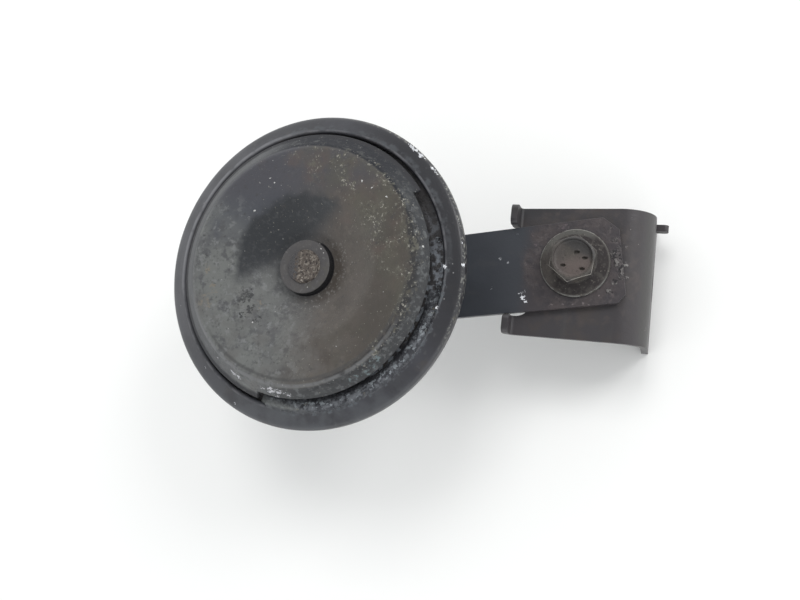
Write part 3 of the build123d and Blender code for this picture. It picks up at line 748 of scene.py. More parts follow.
# %% [markdown]
# ## The hub
#
# The armature's stud comes through the disc and a thick washer, and is peened over on top. The
# head was hammered, so it isn't quite round and its face is rough. The same spin makes it, and
# noise then moves only the points of the head.

# %% Hub washer and stud
bm = draw_outline(
    [(4.05, 1.56, 0), (7.6, 1.56, 0.15), (7.6, 4.06, 0.3), (4.05, 4.06, 0)], closed=True
)
divide_long_edges(bm, 0.8)
spin_round(bm, 120)
hub_washer = make_piece("hub_washer_turned", bm, HORN, "vibrator")
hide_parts("hub_washer")

HEAD_LOW = 4.06
HEAD_TOP = 4.75
bm = draw_outline(
    [
        (0, -12.2, 0), (8.7, -12.2, 0.3), (8.7, -6.8, 0), (11.0, -6.8, 0.3), (11.0, -0.7, 0.2),
        (4.0, -0.7, 0), (4.0, HEAD_LOW, 0), (4.8, HEAD_LOW, 0), (4.8, HEAD_TOP, 0.3),
        (0, HEAD_TOP, 0),
    ],
    closed=False,
)
divide_long_edges(bm, 0.35)
spin_round(bm, 108)
for vert in bm.verts:
    if vert.co.z > HEAD_LOW + 0.01:
        wave = noise.noise(Vector((vert.co.x, vert.co.y, 0)) / 2.5)
        chips = noise.noise(Vector((vert.co.x, vert.co.y, 5)) / 0.6)
        shrink = 0.96 + 0.06 * wave
        vert.co.x *= shrink
        vert.co.y *= shrink
        if vert.co.z > HEAD_TOP - 0.05:
            vert.co.z += 0.07 * chips - 0.08
armature = make_piece("armature_peened", bm, HORN, "vibrator")
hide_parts("armature")

# %% [markdown]
# Most of the head has lost its paint and is brown, grainy rust. A strip of dark paint is left on
# one side, so the paint is a coat over the rust and not the other way round.

# %% Hub finishes
washer_paint = make_finish(
    "washer_paint", in_horn_frame, (0.054, 0.051, 0.052), 0.5,
    coats=[
        (blotches(3.5, 0.42, 0.62, detail=6), (0.062, 0.058, 0.057), 0.5),
        (meet(side(-50, 2, 6), blotches(2.5, 0.4, 0.6, seed=2), 0.6), (0.066, 0.062, 0.05), 0.55),
        (meet(blotches(0.9, 0.56, 0.64, detail=6, seed=5), 0.7), (0.09, 0.088, 0.086), 0.6),
        (specks(1.3, 0.08, 0.15), (0.24, 0.23, 0.21), 0.7),
        # painted shade: the washer's side wall is black
        (above(3.9, 3.7), (0.004, 0.004, 0.005), 0.95),
        (marks([(5.2, 4.4, 4.0, 0.22), (5.9, 3.2, 4.0, 0.2), (0.9, -6.0, 4.0, 0.22)], 0.2),
         (0.42, 0.41, 0.39), 0.7),
    ],
    relief=[(blotches(0.7, 0.3, 0.7), 0.03), (blotches(3.0, 0.3, 0.7), 0.03)],
)
paint_left = side(172, 1.3, 2.0)
stud_rust = make_finish(
    "stud_rust", in_horn_frame, (0.074, 0.06, 0.05), 0.7,
    coats=[
        (blotches(0.9, 0.5, 0.58, detail=6), (0.165, 0.145, 0.122), 0.75),
        (blotches(0.7, 0.54, 0.6, detail=6, seed=3), (0.026, 0.021, 0.019), 0.8),
        (meet(blotches(0.5, 0.6, 0.65, seed=7), side(-60, -3, 1)), (0.34, 0.31, 0.275), 0.8),
        (meet(above(HEAD_LOW - 1.0, HEAD_LOW),
              either(side(172, 2.5, 2.9), meet(paint_left, blotches(0.9, 0.46, 0.52)))),
         (0.046, 0.044, 0.046), 0.5),
        (above(2.0, 1.0), (0.2, 0.19, 0.18), 0.45),
    ],
    relief=[(blotches(0.5, 0.35, 0.65, detail=6), 0.14), (blotches(1.2, 0.3, 0.7), 0.08)],
)
put_on(washer_paint, hub_washer)
put_on(stud_rust, armature)

# %% [markdown]
# ## The diaphragm
#
# Only a narrow ring of the diaphragm shows, down between the disc and the rim. It is the place
# where water stood, so it is brown-black with crusts. The sheet has one pressed wave, and it is
# drawn and thickened in the same way as the disc.

# %% Diaphragm
bm = draw_outline(
    [(4.1, -0.5, 0), (30.0, -0.5, 1.4), (33.0, -1.7, 1.4), (36.0, -0.5, 1.4), (43.8, -0.5, 0)],
    closed=False,
)
divide_long_edges(bm, 2.0)
spin_round(bm, 180)
diaphragm = make_piece("diaphragm_sheet", bm, HORN, "housing")
thicken(diaphragm, 0.38, 0.05)
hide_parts("diaphragm")
wet_side = side(-52, 8, 30)
membrane_paint = make_finish(
    "membrane_paint", in_horn_frame, (0.034, 0.033, 0.036), 0.5,
    coats=[
        (blotches(4, 0.42, 0.62), (0.07, 0.062, 0.058), 0.55),
        (meet(side(5, 20, 36), 0.8), (0.056, 0.054, 0.056), 0.55),
        (meet(wet_side, flaky(1.8, 0.46, 0.58)), (0.24, 0.26, 0.29), 0.8),
    ],
    relief=[(blotches(1.4, 0.4, 0.65), 0.15)],
)
put_on(membrane_paint, diaphragm)

# %% [markdown]
# ## Crusts and flakes
#
# On the wet side the slot is half filled with dirt and salts that climb over the lip. That bed is
# one more outline, spun through a part of the circle, sunk at both ends and roughened by noise.

# %% Bed of dirt in the slot
BED_START = -113.0
BED_TURN = 98.0
BED_FLOOR = -0.32
BED_WALL = 39.3
bm = draw_outline(
    [
        (35.4, BED_FLOOR, 0), (36.2, 0.9, 0), (37.3, 1.55, 0), (38.3, 1.95, 0), (BED_WALL, 2.2, 0),
        (40.2, 2.36, 0), (40.3, 2.1, 0), (BED_WALL, 1.5, 0), (BED_WALL, BED_FLOOR, 0),
    ],
    closed=True,
)
divide_long_edges(bm, 0.25)
bmesh.ops.spin(
    bm, geom=bm.verts[:] + bm.edges[:], cent=(0, 0, 0), axis=(0, 0, 1), dvec=(0, 0, 0),
    angle=radians(BED_TURN), steps=260, use_merge=False, use_duplicate=False,
)
bmesh.ops.remove_doubles(bm, verts=bm.verts, dist=0.002)
bmesh.ops.holes_fill(bm, edges=[edge for edge in bm.edges if edge.is_boundary], sides=0)
start_turn = Matrix.Rotation(radians(BED_START), 3, "Z")
bmesh.ops.rotate(bm, verts=bm.verts, cent=(0, 0, 0), matrix=start_turn)
for vert in bm.verts:
    reach = hypot(vert.co.x, vert.co.y)
    turned = (atan2(vert.co.y, vert.co.x) - radians(BED_START)) / radians(BED_TURN)
    full = min(1.0, 12 * turned + 0.5, 5 * (1 - turned))
    narrow = min(max((turned - 0.45) / 0.1, 0), 1) * 0.1
    rough = 0.3 * noise.noise(vert.co / 1.1) + 0.18 * noise.noise(vert.co / 0.45)
    outward = max(BED_WALL - reach, 0) * narrow / reach
    vert.co.x += vert.co.x * outward
    vert.co.y += vert.co.y * outward
    if vert.co.z > BED_FLOOR + 0.02:
        raised = (vert.co.z - BED_FLOOR) * max(full, 0.0)
        vert.co.z = BED_FLOOR + raised + rough * max(full, 0.2)
bmesh.ops.recalc_face_normals(bm, faces=bm.faces)
recess_bed = make_piece("recess_bed", bm, HORN, "housing", 60)

# %% [markdown]
# The salts on top of it and the torn paint on the rim stand up from the metal, so they are real
# grains: small icospheres of twenty faces, squeezed, turned and dented at random. The random
# generator and the noise that dents them are both seeded, so every run makes them alike. A particle
# system could scatter them too, but then they wouldn't stay at the chosen places.


# %% Scattered grains
def add_grain(bm, centre, size, chance, flat):
    spin = Matrix.Rotation(chance.uniform(0, pi), 4, (chance.random(), chance.random(), 1))
    squeeze = Matrix.Diagonal((1, chance.uniform(0.5, 0.9), flat, 1))
    matrix = Matrix.Translation(centre) @ spin @ squeeze
    grain = bmesh.ops.create_icosphere(bm, subdivisions=1, radius=size, matrix=matrix)
    for vert in grain["verts"]:
        vert.co += 0.25 * size * noise.noise_vector(vert.co * 3.1)


GRAIN_SEED = 11
chance = Random(GRAIN_SEED)
noise.seed_set(GRAIN_SEED)
bm = bmesh.new()
for tries in range(1500):
    angle = chance.uniform(-112, 8)
    thickness = noise.noise(Vector((angle / 4.0, 2.0, 0))) + 0.1
    if angle > -12 or angle < -98:
        thickness -= 0.3
    if thickness < 0.05:
        continue
    share = chance.random() ** 0.7
    if angle < -20:
        radius = 36.5 + 3.9 * share
        rise = 1.05 + 1.25 * share + chance.uniform(-0.1, 0.2)
    else:
        radius = chance.uniform(37.4, 39.1)
        rise = 0.1
    add_grain(bm, polar(radius, angle, rise), chance.uniform(0.08, 0.3), chance, 0.6)
recess_crust = make_piece("recess_crust", bm, HORN, "housing", 60)

bm = bmesh.new()
for tries in range(420):
    angle = chance.uniform(-128, 32)
    if noise.noise(Vector((angle / 6.0, 9.0, 0))) < 0.08:
        continue
    share = chance.random()
    radius = 34.2 + 2.3 * share
    height = 7.9 - 2.9 * share
    add_grain(bm, polar(radius, angle, height), chance.uniform(0.07, 0.2), chance, 0.5)
disc_crust = make_piece("disc_crust", bm, HORN, "vibrator", 60)

crust = make_finish(
    "crust", in_horn_frame, (0.135, 0.143, 0.156), 0.8,
    coats=[
        (blotches(2.2, 0.46, 0.54, detail=8), (0.052, 0.054, 0.062), 0.75),
        (blotches(1.1, 0.54, 0.6, detail=8, seed=2), (0.27, 0.295, 0.315), 0.85),
        # painted shadow next to the disc's flange, in patches
        (meet(ring(-1, 37.2, 0.4, 0.8), blotches(3.0, 0.36, 0.5, detail=6, seed=3), 0.7),
         (0.02, 0.021, 0.026), 0.7),
        (blotches(3.5, 0.58, 0.68, seed=5), (0.17, 0.155, 0.12), 0.85),
        (meet(side(-112, 36.5, 38.5), 0.8), (0.15, 0.157, 0.153), 0.7),
        (meet(ring(39.5, 42, 0.4, 0.4), 0.8), (0.06, 0.063, 0.07), 0.6),
    ],
    relief=[(blotches(0.3, 0.3, 0.7), 0.05)],
)
put_on(crust, recess_bed, recess_crust)
salt_grain = make_finish(
    "salt_grain", in_horn_frame, (0.105, 0.112, 0.116), 0.8,
    coats=[(blotches(1.4, 0.52, 0.62, detail=6), (0.22, 0.24, 0.245), 0.85)],
)
put_on(salt_grain, disc_crust)


# %% Torn paint on the rim
RIM_SLOPE = 0.264
FLAKE_SHAPE = Matrix.Diagonal((1, 0.42, 0.22, 1))


def add_flakes(bm, centre, spread, count, longest):
    """Thin flakes that lie along the rim's edge, more spread along it than across."""
    along = Vector((-centre.y, centre.x, 0)).normalized()
    for flake in range(count):
        spot = centre + along * chance.gauss(0, spread)
        spot += centre.normalized() * chance.gauss(0, 0.25 * spread)
        reach = hypot(spot.x, spot.y)
        if reach < RIM_OUTSIDE - 0.4:
            spot.z = LIP_TOP - (reach - LIP_RADIUS) * RIM_SLOPE + chance.uniform(-0.02, 0.08)
            length = chance.uniform(0.35, 1.0) * longest
            turn = atan2(along.y, along.x) + chance.gauss(0, 0.5)
            matrix = Matrix.Translation(spot) @ Matrix.Rotation(turn, 4, "Z")
            matrix = matrix @ Matrix.Rotation(chance.gauss(0, 0.25), 4, "X") @ FLAKE_SHAPE
            made = bmesh.ops.create_icosphere(bm, subdivisions=1, radius=length, matrix=matrix)
            for vert in made["verts"]:
                vert.co += 0.3 * length * noise.noise_vector(vert.co * 2.3)


flake_places = [
    ((31.9, 30.7), 0.8, 22, 0.55), ((33.4, 29.2), 0.7, 20, 0.5), ((34.9, 27.6), 0.6, 16, 0.45),
    ((37.6, 23.7), 0.6, 14, 0.4), ((38.5, 22.4), 0.4, 8, 0.3), ((39.4, -4.1), 0.3, 5, 0.45),
    ((44.2, -4.1), 0.3, 5, 0.35), ((36.9, -14.9), 0.25, 4, 0.35), ((-23.4, -36.4), 0.3, 6, 0.4),
    ((-32.8, -25.6), 0.2, 3, 0.3), ((43.9, 7.6), 0.6, 5, 0.25),
]
bm = bmesh.new()
for place, spread, count, longest in flake_places:
    add_flakes(bm, Vector((*place, 0)), spread, count, longest)
rim_flakes = make_piece("rim_flakes", bm, HORN, "housing", 60)

bm = bmesh.new()
add_flakes(bm, Vector((33.0, 29.9, 0)), 0.9, 9, 0.7)
add_flakes(bm, Vector((34.2, 28.6, 0)), 0.6, 6, 0.6)
dark_flakes = make_piece("rim_torn_paint", bm, HORN, "housing", 60)

white_flake = make_finish(
    "white_flake", in_horn_frame, (0.72, 0.73, 0.75), 0.85,
    coats=[(blotches(0.8, 0.5, 0.62), (0.4, 0.41, 0.43), 0.85)],
)
put_on(white_flake, rim_flakes)
put_on(rim_paint, dark_flakes)

# %% [markdown]
# ## Strap and bracket
#
# Both are sheet steel with holes and bends, and the frame's solids already have that exact shape.
# What they lack is the small round that shearing and paint leave on every edge. Their triangles are
# loose, so a copy is merged, its flat faces are joined, and then only the sharp edges are bevelled.
# Drawing the sheets again would risk moving a hole off its bolt.


# %% Copy with rounded edges
def rounded_copy(node, rounding, sharp=30):
    bm = bmesh.new()
    bm.from_mesh(NODES[node].data)
    bmesh.ops.remove_doubles(bm, verts=bm.verts, dist=0.000002)
    bmesh.ops.dissolve_limit(
        bm, angle_limit=radians(0.3), use_dissolve_boundaries=False,
        verts=bm.verts, edges=bm.edges,
    )
    corners = [
        edge for edge in bm.edges
        if len(edge.link_faces) == 2 and edge.calc_face_angle() > radians(sharp)
    ]
    bmesh.ops.bevel(
        bm, geom=corners, offset=rounding * MM, offset_type="OFFSET", segments=3,
        profile=0.5, affect="EDGES", clamp_overlap=True, material=-1,
    )
    open_edges = sum(1 for edge in bm.edges if len(edge.link_faces) != 2)
    print(node, "rounded edges", len(corners), "open edges", open_edges)
    return bm


def even_shading(piece):
    """Large flat faces keep a flat look beside their rounded edges."""
    weighting = piece.modifiers.new("even", "WEIGHTED_NORMAL")
    weighting.keep_sharp = True


AS_IS = Matrix.Identity(4)
bm = rounded_copy("mounting_strap", 0.3)
strap = make_piece("strap_sheared", bm, AS_IS, "housing")
even_shading(strap)
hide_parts("mounting_strap")
bm = rounded_copy("vehicle_bracket", 0.3)
bracket = make_piece("bracket_folded", bm, AS_IS, "housing")
even_shading(bracket)
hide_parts("vehicle_bracket")

# %% [markdown]
# The strap keeps a smooth blue-black paint, the bracket a duller one with a purple tinge. Round the
# bolt the paint has lifted in a ragged ring, where the bolt's flange ground it away and rust crept
# under it.

# %% Strap paint
STRAP_FACE = 17.8


def on_strap(spots, ragged):
    """Marks on the strap's upper face. Each spot is (x, y, radius)."""
    return marks([(x, y, STRAP_FACE, radius) for x, y, radius in spots], ragged)


stained_end = ring(9.6, 15.4, 1.2, 2.0)
lifted = [
    (10.8, 7.4, 1.0), (12.2, 5.6, 0.9), (11.2, 3.4, 1.7), (12.4, 1.0, 1.8),
    (13.3, -1.2, 1.5), (11.4, -4.8, 0.9), (10.2, -7.6, 0.8), (9.2, 10.9, 0.7),
    (13.2, -3.2, 1.0),
]
pink_spots = [(-4.0, 10.6, 1.2), (-11.6, 5.6, 0.9), (-13.6, 8.4, 0.6), (3.6, 10.4, 0.6)]
edge_specks = [
    (-2.4, -12.4, 0.35), (0.4, -12.0, 0.3), (3.2, -11.6, 0.35), (5.0, -11.9, 0.25),
    (-5.8, -12.6, 0.3), (7.4, -9.0, 0.3),
]
strap_marks = [
    (-14.9, -9.8, 0.5), (-14.3, -11.0, 0.7), (-13.4, -12.2, 0.6), (-13.9, -9.2, 0.3),
    (-17.5, 8.0, 0.15), (-24.0, -9.0, 0.15),
]
faint_marks = [(-22.3, 0.5, 0.45), (-20.9, -0.3, 0.4), (-19.7, -0.9, 0.4)]
lifted_zone = on_strap(lifted, 1.0)
strap_spots = on_strap(strap_marks, 1.0)
strap_paint = make_finish(
    "strap_paint", at_the_bolt, (0.037, 0.04, 0.047), 0.34, gloss=0.42,
    coats=[
        (blotches(18, 0.42, 0.66), (0.04, 0.044, 0.052), 0.4),
        (meet(blotches(9, 0.52, 0.68, seed=3, stretch=(0.6, 1.5, 1)), 0.6),
         (0.05, 0.051, 0.055), 0.46),
        (meet(side(0, -17, -11), blotches(12, 0.2, 0.45, seed=8), 0.9),
         (0.044, 0.038, 0.041), 0.48),
        (meet(stained_end, blotches(6, 0.38, 0.58, seed=2), 0.8), (0.064, 0.053, 0.053), 0.54),
        (meet(stained_end, blotches(3.4, 0.5, 0.64, detail=6, seed=16), 0.7),
         (0.034, 0.03, 0.034), 0.5),
        (meet(stained_end, blotches(2.0, 0.54, 0.66, detail=6, seed=6), 0.6),
         (0.096, 0.082, 0.082), 0.6),
        (meet(lifted_zone, 0.7), (0.092, 0.083, 0.083), 0.65),
        (meet(lifted_zone, blotches(1.6, 0.49, 0.54, detail=8, seed=9)), (0.022, 0.02, 0.022), 0.5),
        (meet(lifted_zone, blotches(1.5, 0.53, 0.58, detail=8, seed=4), 0.8),
         (0.165, 0.155, 0.15), 0.7),
        (meet(on_strap(pink_spots, 1.4), blotches(1.6, 0.42, 0.58, detail=6), 0.6),
         (0.15, 0.118, 0.128), 0.7),
        (meet(on_strap(edge_specks, 0.5), 0.5), (0.22, 0.19, 0.19), 0.7),
        (specks(2.8, 0.07, 0.1), (0.16, 0.16, 0.165), 0.7),
        (meet(on_strap(faint_marks, 0.6), blotches(0.7, 0.46, 0.58), 0.6), (0.45, 0.46, 0.48), 0.8),
        (meet(strap_spots, blotches(0.7, 0.36, 0.44, detail=6)), WHITE_RUST, 0.85),
    ],
    relief=[
        (blotches(0.8, 0.3, 0.7), 0.01),
        (meet(stained_end, blotches(2.0, 0.42, 0.62)), 0.06),
        (meet(lifted_zone, blotches(1.5, 0.46, 0.58, detail=8, seed=4)), 0.35),
        (strap_spots, 0.08),
    ],
)
put_on(strap_paint, strap)

# %% Bracket paint
plate_marks = [
    (14.2, 1.0, 15.5, 0.8), (14.6, -2.6, 15.5, 0.6), (13.4, 6.6, 15.5, 0.5),
    (-18.3, -14.6, 14.5, 0.6), (-16.0, -16.4, 15.5, 0.4), (20.6, -17.0, 10.0, 0.6),
]
bracket_paint = make_finish(
    "bracket_paint", at_the_bolt, (0.042, 0.039, 0.042), 0.38, gloss=0.45,
    coats=[
        (blotches(14, 0.42, 0.66), (0.044, 0.04, 0.043), 0.43),
        (meet(blotches(7, 0.46, 0.66, seed=2), above(9, 13), 0.8), (0.052, 0.044, 0.041), 0.5),
        (meet(side(0, 8, 17), 0.6), (0.034, 0.029, 0.031), 0.42),
        (meet(side(100, 14, 19), side(180, -2, 8), 0.7), (0.022, 0.022, 0.024), 0.45),
        (meet(ring(12, 19, 2.0, 3.0), above(9, 13), blotches(3.0, 0.48, 0.64), 0.7),
         (0.062, 0.052, 0.05), 0.6),
        (meet(side(0, 17.6, 20.0), above(2, 6)), (0.048, 0.046, 0.045), 0.42),
        (meet(blotches(20, 0.6, 0.72, seed=7, stretch=(4, 0.4, 0.4)), 0.5),
         (0.06, 0.057, 0.057), 0.46),
        (specks(2.4, 0.08, 0.14), (0.17, 0.16, 0.155), 0.7),
        (meet(marks(plate_marks, 1.2), blotches(1.0, 0.44, 0.6), 0.8), (0.26, 0.25, 0.24), 0.8),
    ],
    relief=[(blotches(0.9, 0.3, 0.7), 0.012), (blotches(3.0, 0.3, 0.7, seed=4), 0.03)],
)
put_on(bracket_paint, bracket)

# %% [markdown]
# ## The flange bolt
#
# The bolt has a hexagon head with a cone turned off its corners, a shallow dish with four stamped
# dimples, and a cone-shaped flange. A six-sided cylinder would have no chamfer arcs, and cutting
# one with booleans leaves long thin faces. Here the outline is spun as if the head were round, and
# the points of the head's side are then pushed out to the hexagon by one short formula, which
# also lowers them along the chamfer's cone. The arcs come by themselves.

# %% Flange bolt
SEAT = STRAP_FACE
HEAD_FACE = 25.6
DISH_FLOOR = 24.6
HALF_FLATS = 6.0
CHAMFER_START = 5.75
FLANGE_EDGE = SEAT + 1.1
CONE_TOP = SEAT + 2.6
FLANGE_RADIUS = 10.0
CONE_SLOPE = (CONE_TOP - FLANGE_EDGE) / (FLANGE_RADIUS - HALF_FLATS)
HEAD_TURN = radians(21.3)
THREAD_CREST = 4.0
THREAD_ROOT = 3.45
THREAD_PITCH = 1.25
bolt_outline = [
    (0, DISH_FLOOR, 0), (5.2, DISH_FLOOR, 0.7), (5.5, HEAD_FACE, 0.1),
    (CHAMFER_START, HEAD_FACE, 0), (HALF_FLATS, HEAD_FACE - 0.15, 0), (HALF_FLATS, CONE_TOP, 0),
    (FLANGE_RADIUS, FLANGE_EDGE, 0.3), (FLANGE_RADIUS, SEAT, 0.2), (4.0, SEAT, 0), (4.0, 10.6, 0),
    (THREAD_ROOT, 10.0, 0), (THREAD_ROOT, 2.6, 0), (2.8, 1.8, 0), (0, 1.8, 0),
]
bm = draw_outline(bolt_outline, closed=False)
divide_long_edges(bm, 0.25)
spin_round(bm, 144)
wear = bm.verts.layers.float.new("wear")
for vert in bm.verts:
    x, y, z = vert.co
    radius = hypot(x, y)
    on_side = abs(radius - HALF_FLATS) < 0.01 and z > CONE_TOP - 0.1
    on_chamfer = z > HEAD_FACE - 0.16 and radius > CHAMFER_START + 0.01
    if on_side or on_chamfer:
        corner = 1 / cos(atan2(y, x) % radians(60) - radians(30))
        new_radius = radius * corner
        vert.co.x *= corner
        vert.co.y *= corner
        chamfer_height = HEAD_FACE - (new_radius - CHAMFER_START) * tan(radians(30))
        cone_height = FLANGE_EDGE + (FLANGE_RADIUS - new_radius) * CONE_SLOPE
        share = (z - CONE_TOP) / (HEAD_FACE - 0.15 - CONE_TOP)
        side_height = cone_height + share * (chamfer_height - cone_height)
        vert.co.z = chamfer_height if on_chamfer else side_height
    vert[wear] = 1.0 if abs(radius - HALF_FLATS) < 0.01 and z > HEAD_FACE - 0.2 else 0.0
head_turn = Matrix.Rotation(HEAD_TURN, 3, "Z")
bmesh.ops.rotate(bm, verts=bm.verts, cent=(0, 0, 0), matrix=head_turn)

dimples = [(-2.59, -2.06), (2.75, -2.87), (3.3, 0.3), (0.95, 1.9)]
for vert in bm.verts:
    if vert.co.z > DISH_FLOOR - 0.05 and hypot(vert.co.x, vert.co.y) < 4.9:
        for x, y in dimples:
            away = hypot((vert.co.x - x) / 1.9, vert.co.y - y) / 0.45
            if away < 1:
                vert.co.z -= 0.75 * (1 - away ** 3)
print("bolt points", len(bm.verts))

# %% [markdown]
# A screw thread is a helix, and the same spin makes one if it also climbs at each step. A small
# triangle goes round and up by one pitch a turn. It is closed at both ends and sits on the plain
# shank.


# %% Thread
def add_thread(bm, root, crest, pitch, low, high):
    ridge = bmesh.new()
    half = pitch * 0.46
    corners = [ridge.verts.new((root - 0.08, 0, low)), ridge.verts.new((crest, 0, low + half)),
               ridge.verts.new((root - 0.08, 0, low + 2 * half))]
    ridge.faces.new(corners)
    turns = (high - low - pitch) / pitch
    steps = int(turns * 40)
    bmesh.ops.spin(
        ridge, geom=ridge.verts[:] + ridge.edges[:] + ridge.faces[:], cent=(0, 0, 0),
        axis=(0, 0, 1), dvec=(0, 0, turns * pitch / steps), angle=2 * pi * turns, steps=steps,
        use_merge=False, use_duplicate=False,
    )
    bmesh.ops.holes_fill(ridge, edges=ridge.edges, sides=3)
    bmesh.ops.recalc_face_normals(ridge, faces=ridge.faces)
    ridge_mesh = bpy.data.meshes.new("thread")
    ridge.to_mesh(ridge_mesh)
    ridge.free()
    bm.from_mesh(ridge_mesh)
    bpy.data.meshes.remove(ridge_mesh)
    print("thread turns", round(turns, 1))


add_thread(bm, THREAD_ROOT, THREAD_CREST, THREAD_PITCH, 2.0, 10.6)
bolt = make_piece("flange_bolt_head", bm, AT_BOLT, "housing", 25)
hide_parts("flange_bolt")
edge = bolt.modifiers.new("edge", "BEVEL")
edge.width = 0.14 * MM
edge.segments = 2
edge.limit_method = "ANGLE"
edge.angle_limit = radians(27)

# %% Bolt finish
near_side = side(-95, -0.5, 2.5)
flange_top = ring(6.3, 9.55, 0.3)
flange_rim = ring(9.75, 11, 0.12)
bolt_coat = make_finish(
    "bolt_coat", at_the_bolt, (0.046, 0.041, 0.036), 0.46,
    coats=[
        (blotches(4, 0.42, 0.64), (0.058, 0.051, 0.044), 0.5),
        # painted light: the dish is lighter and browner on its near side
        (meet(ring(-1, 5.2, 0.8, 0.8), above(24, 24.6), side(-75, -2.5, 2.0)),
         (0.094, 0.074, 0.067), 0.55),
        (meet(ring(-1, 5.6, 0.4), above(24, 24.6), side(180, 1, 4), 0.7),
         (0.066, 0.056, 0.052), 0.55),
        # painted shade: the head is darker on its upper right, inside the dish
        (meet(ring(-1, 6.2, 0.4), side(62, 1.2, 3.6), 0.9), (0.033, 0.031, 0.031), 0.5),
        # painted shade: the flange's top is dark all round the head
        (flange_top, (0.021, 0.017, 0.017), 0.85),
        (meet(flange_top, side(175, 3.5, 6.5), blotches(4, 0.3, 0.5), 0.8),
         (0.062, 0.054, 0.048), 0.6),
        # painted light: the flange's outer band is lighter on the far side
        (meet(ring(8.2, 9.7, 0.3), side(110, 4, 7), 0.6), (0.08, 0.079, 0.07), 0.5),
        (meet(flange_top, blotches(2.2, 0.5, 0.62, detail=6, seed=21), 0.5),
         (0.052, 0.047, 0.04), 0.6),
        # worn edges, with a painted highlight that makes the near edges brightest
        (meet(edge_wear_and_glint, near_side, blotches(1.6, 0.3, 0.46, seed=4), 0.95),
         (0.42, 0.4, 0.36), 0.45),
        (meet(edge_wear_and_glint, side(85, 0.5, 2.5), blotches(1.6, 0.35, 0.5, seed=4), 0.4),
         (0.3, 0.29, 0.25), 0.45),
        # painted highlights along the flange's edge, far and near, in patches
        (meet(flange_rim, side(125, -2, 5), blotches(1.5, 0.36, 0.5, seed=1), 0.8),
         (0.2, 0.2, 0.18), 0.45),
        (meet(flange_rim, side(-95, 1, 6), blotches(1.5, 0.36, 0.5, seed=1), 0.8),
         (0.17, 0.17, 0.16), 0.45),
        (meet(blotches(0.8, 0.58, 0.66, detail=6, seed=12), 0.7), (0.11, 0.098, 0.085), 0.6),
        (specks(1.4, 0.08, 0.08), (0.16, 0.145, 0.12), 0.7),
        (blotches(0.8, 0.6, 0.68, detail=6, seed=8), (0.022, 0.02, 0.018), 0.6),
    ],
    relief=[(blotches(0.7, 0.3, 0.7), 0.03), (blotches(2.5, 0.3, 0.7), 0.04)],
)
put_on(bolt_coat, bolt)

# %% [markdown]
# ## The rear stud
#
# Behind the strap the magnet's core ends in a threaded stud with a nut. It is turned like the other
# round pieces and gets the same thread.

# %% Pole core and stud
bm = draw_outline(
    [
        (0, -42.9, 0), (2.9, -42.9, 0), (THREAD_ROOT, -42.2, 0), (THREAD_ROOT, -39.0, 0),
        (4.0, -38.4, 0), (4.0, -28.5, 0), (9.0, -28.5, 0), (9.0, -13.0, 0.8), (0, -13.0, 0),
    ],
    closed=False,
)
divide_long_edges(bm, 3.0)
spin_round(bm, 72)
add_thread(bm, THREAD_ROOT, THREAD_CREST, THREAD_PITCH, -42.7, -38.4)
pole_core = make_piece("pole_core_turned", bm, HORN, "housing", 25)
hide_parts("pole_core")

# %% [markdown]
# ## The other solids
#
# Nuts, rivets, the socket and what lies inside the pan keep the frame's own solids, which are plain
# shapes. Each still gets a finish with its own variation, so that the back is as true as the front:
# dusty black paint on the pan, dull zinc on the nuts, moulded plastic, brass and copper.

# %% Paint of the pan
pan_paint = make_finish(
    "pan_paint", in_horn_frame, (0.032, 0.032, 0.034), 0.46,
    coats=[
        (blotches(14, 0.42, 0.66), (0.05, 0.05, 0.053), 0.52),
        (meet(blotches(5, 0.56, 0.7, seed=2), above(-20, -5)), (0.085, 0.07, 0.055), 0.7),
        (meet(ring(5, 14, 1.5, 3.0), above(-24, -28), blotches(3, 0.45, 0.62)),
         (0.1, 0.07, 0.05), 0.75),
        (meet(blotches(1.6, 0.6, 0.7, seed=6), 0.6), (0.13, 0.12, 0.11), 0.7),
        (specks(2.6, 0.1, 0.25), (0.24, 0.24, 0.23), 0.7),
    ],
    relief=[(blotches(0.9, 0.3, 0.7), 0.02), (blotches(5, 0.3, 0.7), 0.05)],
)
put_on(pan_paint, "housing_shell")

# %% Metals of the small parts
def metal_finish(name, colour, roughness, stain):
    """Plated or bare metal with slow tone changes, fine grain and a little stain."""
    deep = tuple(0.72 * value for value in colour)
    return make_finish(
        name, in_horn_frame, colour, roughness,
        coats=[
            (blotches(3.0, 0.4, 0.65), deep, roughness + 0.1),
            (blotches(1.2, 0.56, 0.68, seed=3), stain, 0.75),
            (specks(1.1, 0.15, 0.2), stain, 0.8),
        ],
        relief=[(blotches(0.5, 0.3, 0.7), 0.015)], metal=0.75,
    )


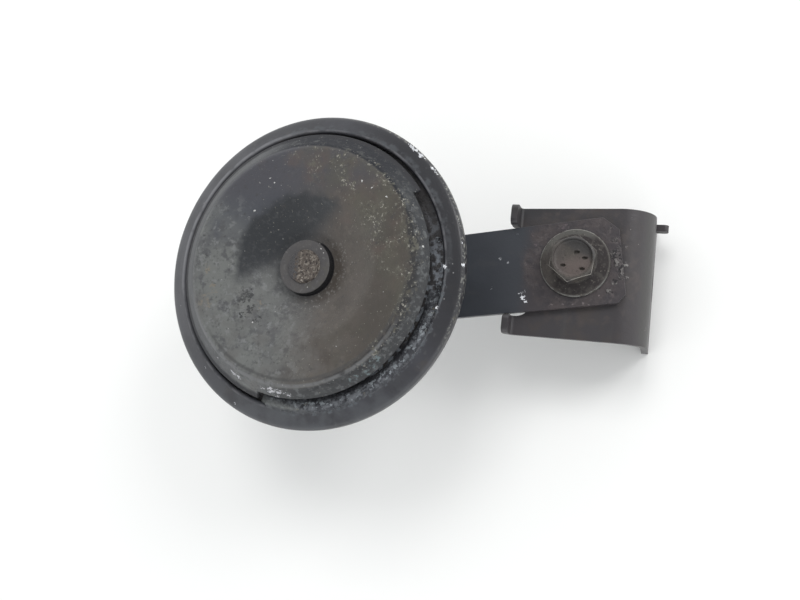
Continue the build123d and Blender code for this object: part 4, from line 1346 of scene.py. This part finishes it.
BROWN_RUST = (0.16, 0.085, 0.045)
metals = [
    ("nut_zinc", (0.36, 0.35, 0.33), 0.42, BROWN_RUST, ["stud_nut", "lock_washer", "weld_nut"]),
    ("turned_steel", (0.42, 0.42, 0.42), 0.32, BROWN_RUST,
     [pole_core, "disc_spacer", "fixed_contact_arm"]),
    ("rivet_zinc", (0.4, 0.4, 0.39), 0.38, BROWN_RUST,
     ["breaker_rivets", "adjusting_screw", "connector_rivets"]),
    ("bronze", (0.6, 0.42, 0.22), 0.34, (0.2, 0.12, 0.06), ["contact_spring"]),
    ("tungsten", (0.55, 0.55, 0.57), 0.3, (0.12, 0.11, 0.1),
     ["moving_contact_tip", "fixed_contact_tip"]),
    ("tinned_brass", (0.66, 0.6, 0.44), 0.34, (0.22, 0.2, 0.12), ["terminal_blades"]),
]
for name, colour, roughness, stain, pieces in metals:
    put_on(metal_finish(name, colour, roughness, stain), *pieces)


# %% Plastic, rubber, fibre and wire
GREY_DUST = (0.16, 0.155, 0.145)


def moulded_finish(name, colour, roughness):
    """Plastic, rubber and board: an even body colour, fine texture, and specks of dust."""
    return make_finish(
        name, in_horn_frame, colour, roughness,
        coats=[
            (blotches(7, 0.42, 0.66), tuple(1.25 * value for value in colour), roughness + 0.06),
            (meet(blotches(2.0, 0.55, 0.7, seed=4), 0.7), GREY_DUST, 0.8),
            (specks(1.8, 0.12, 0.25), GREY_DUST, 0.8),
        ],
        relief=[(blotches(0.35, 0.35, 0.65), 0.012)],
    )


def winding_turns(tree, place):
    """Fine rings round the axis, one for each layer of wire."""
    parts = add_node(tree, "ShaderNodeSeparateXYZ")
    tree.links.new(place, parts.inputs[0])
    wave = calc(tree, "SINE", calc(tree, "MULTIPLY", parts.outputs["Z"], 2 * pi / 0.55))
    return calc(tree, "MULTIPLY_ADD", wave, 0.5, 0.5)


put_on(moulded_finish("socket_plastic", (0.02, 0.02, 0.022), 0.42), "connector_socket")
put_on(moulded_finish("seal_rubber", (0.016, 0.016, 0.016), 0.7), "connector_seal")
put_on(moulded_finish("gasket_fibre", (0.13, 0.12, 0.11), 0.85), "rim_gasket")
put_on(moulded_finish("bobbin_nylon", (0.24, 0.21, 0.16), 0.45), "coil_bobbin")
put_on(moulded_finish("brown_board", (0.2, 0.095, 0.045), 0.55), "contact_insulators")
copper = make_finish(
    "enamelled_copper", in_horn_frame, (0.42, 0.15, 0.06), 0.3,
    coats=[
        (winding_turns, (0.26, 0.08, 0.03), 0.45),
        (blotches(4, 0.5, 0.7), (0.3, 0.12, 0.05), 0.4),
    ],
    relief=[(winding_turns, 0.08)], metal=0.6,
)
put_on(copper, "coil_winding")

# %% Measure and finish
visual_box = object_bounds()
grown = [
    round((outer - inner) / MM, 3)
    for corner in (0, 1) for inner, outer in zip(CAD_BOX[corner], visual_box[corner])
]
print("box changes in mm", grown)
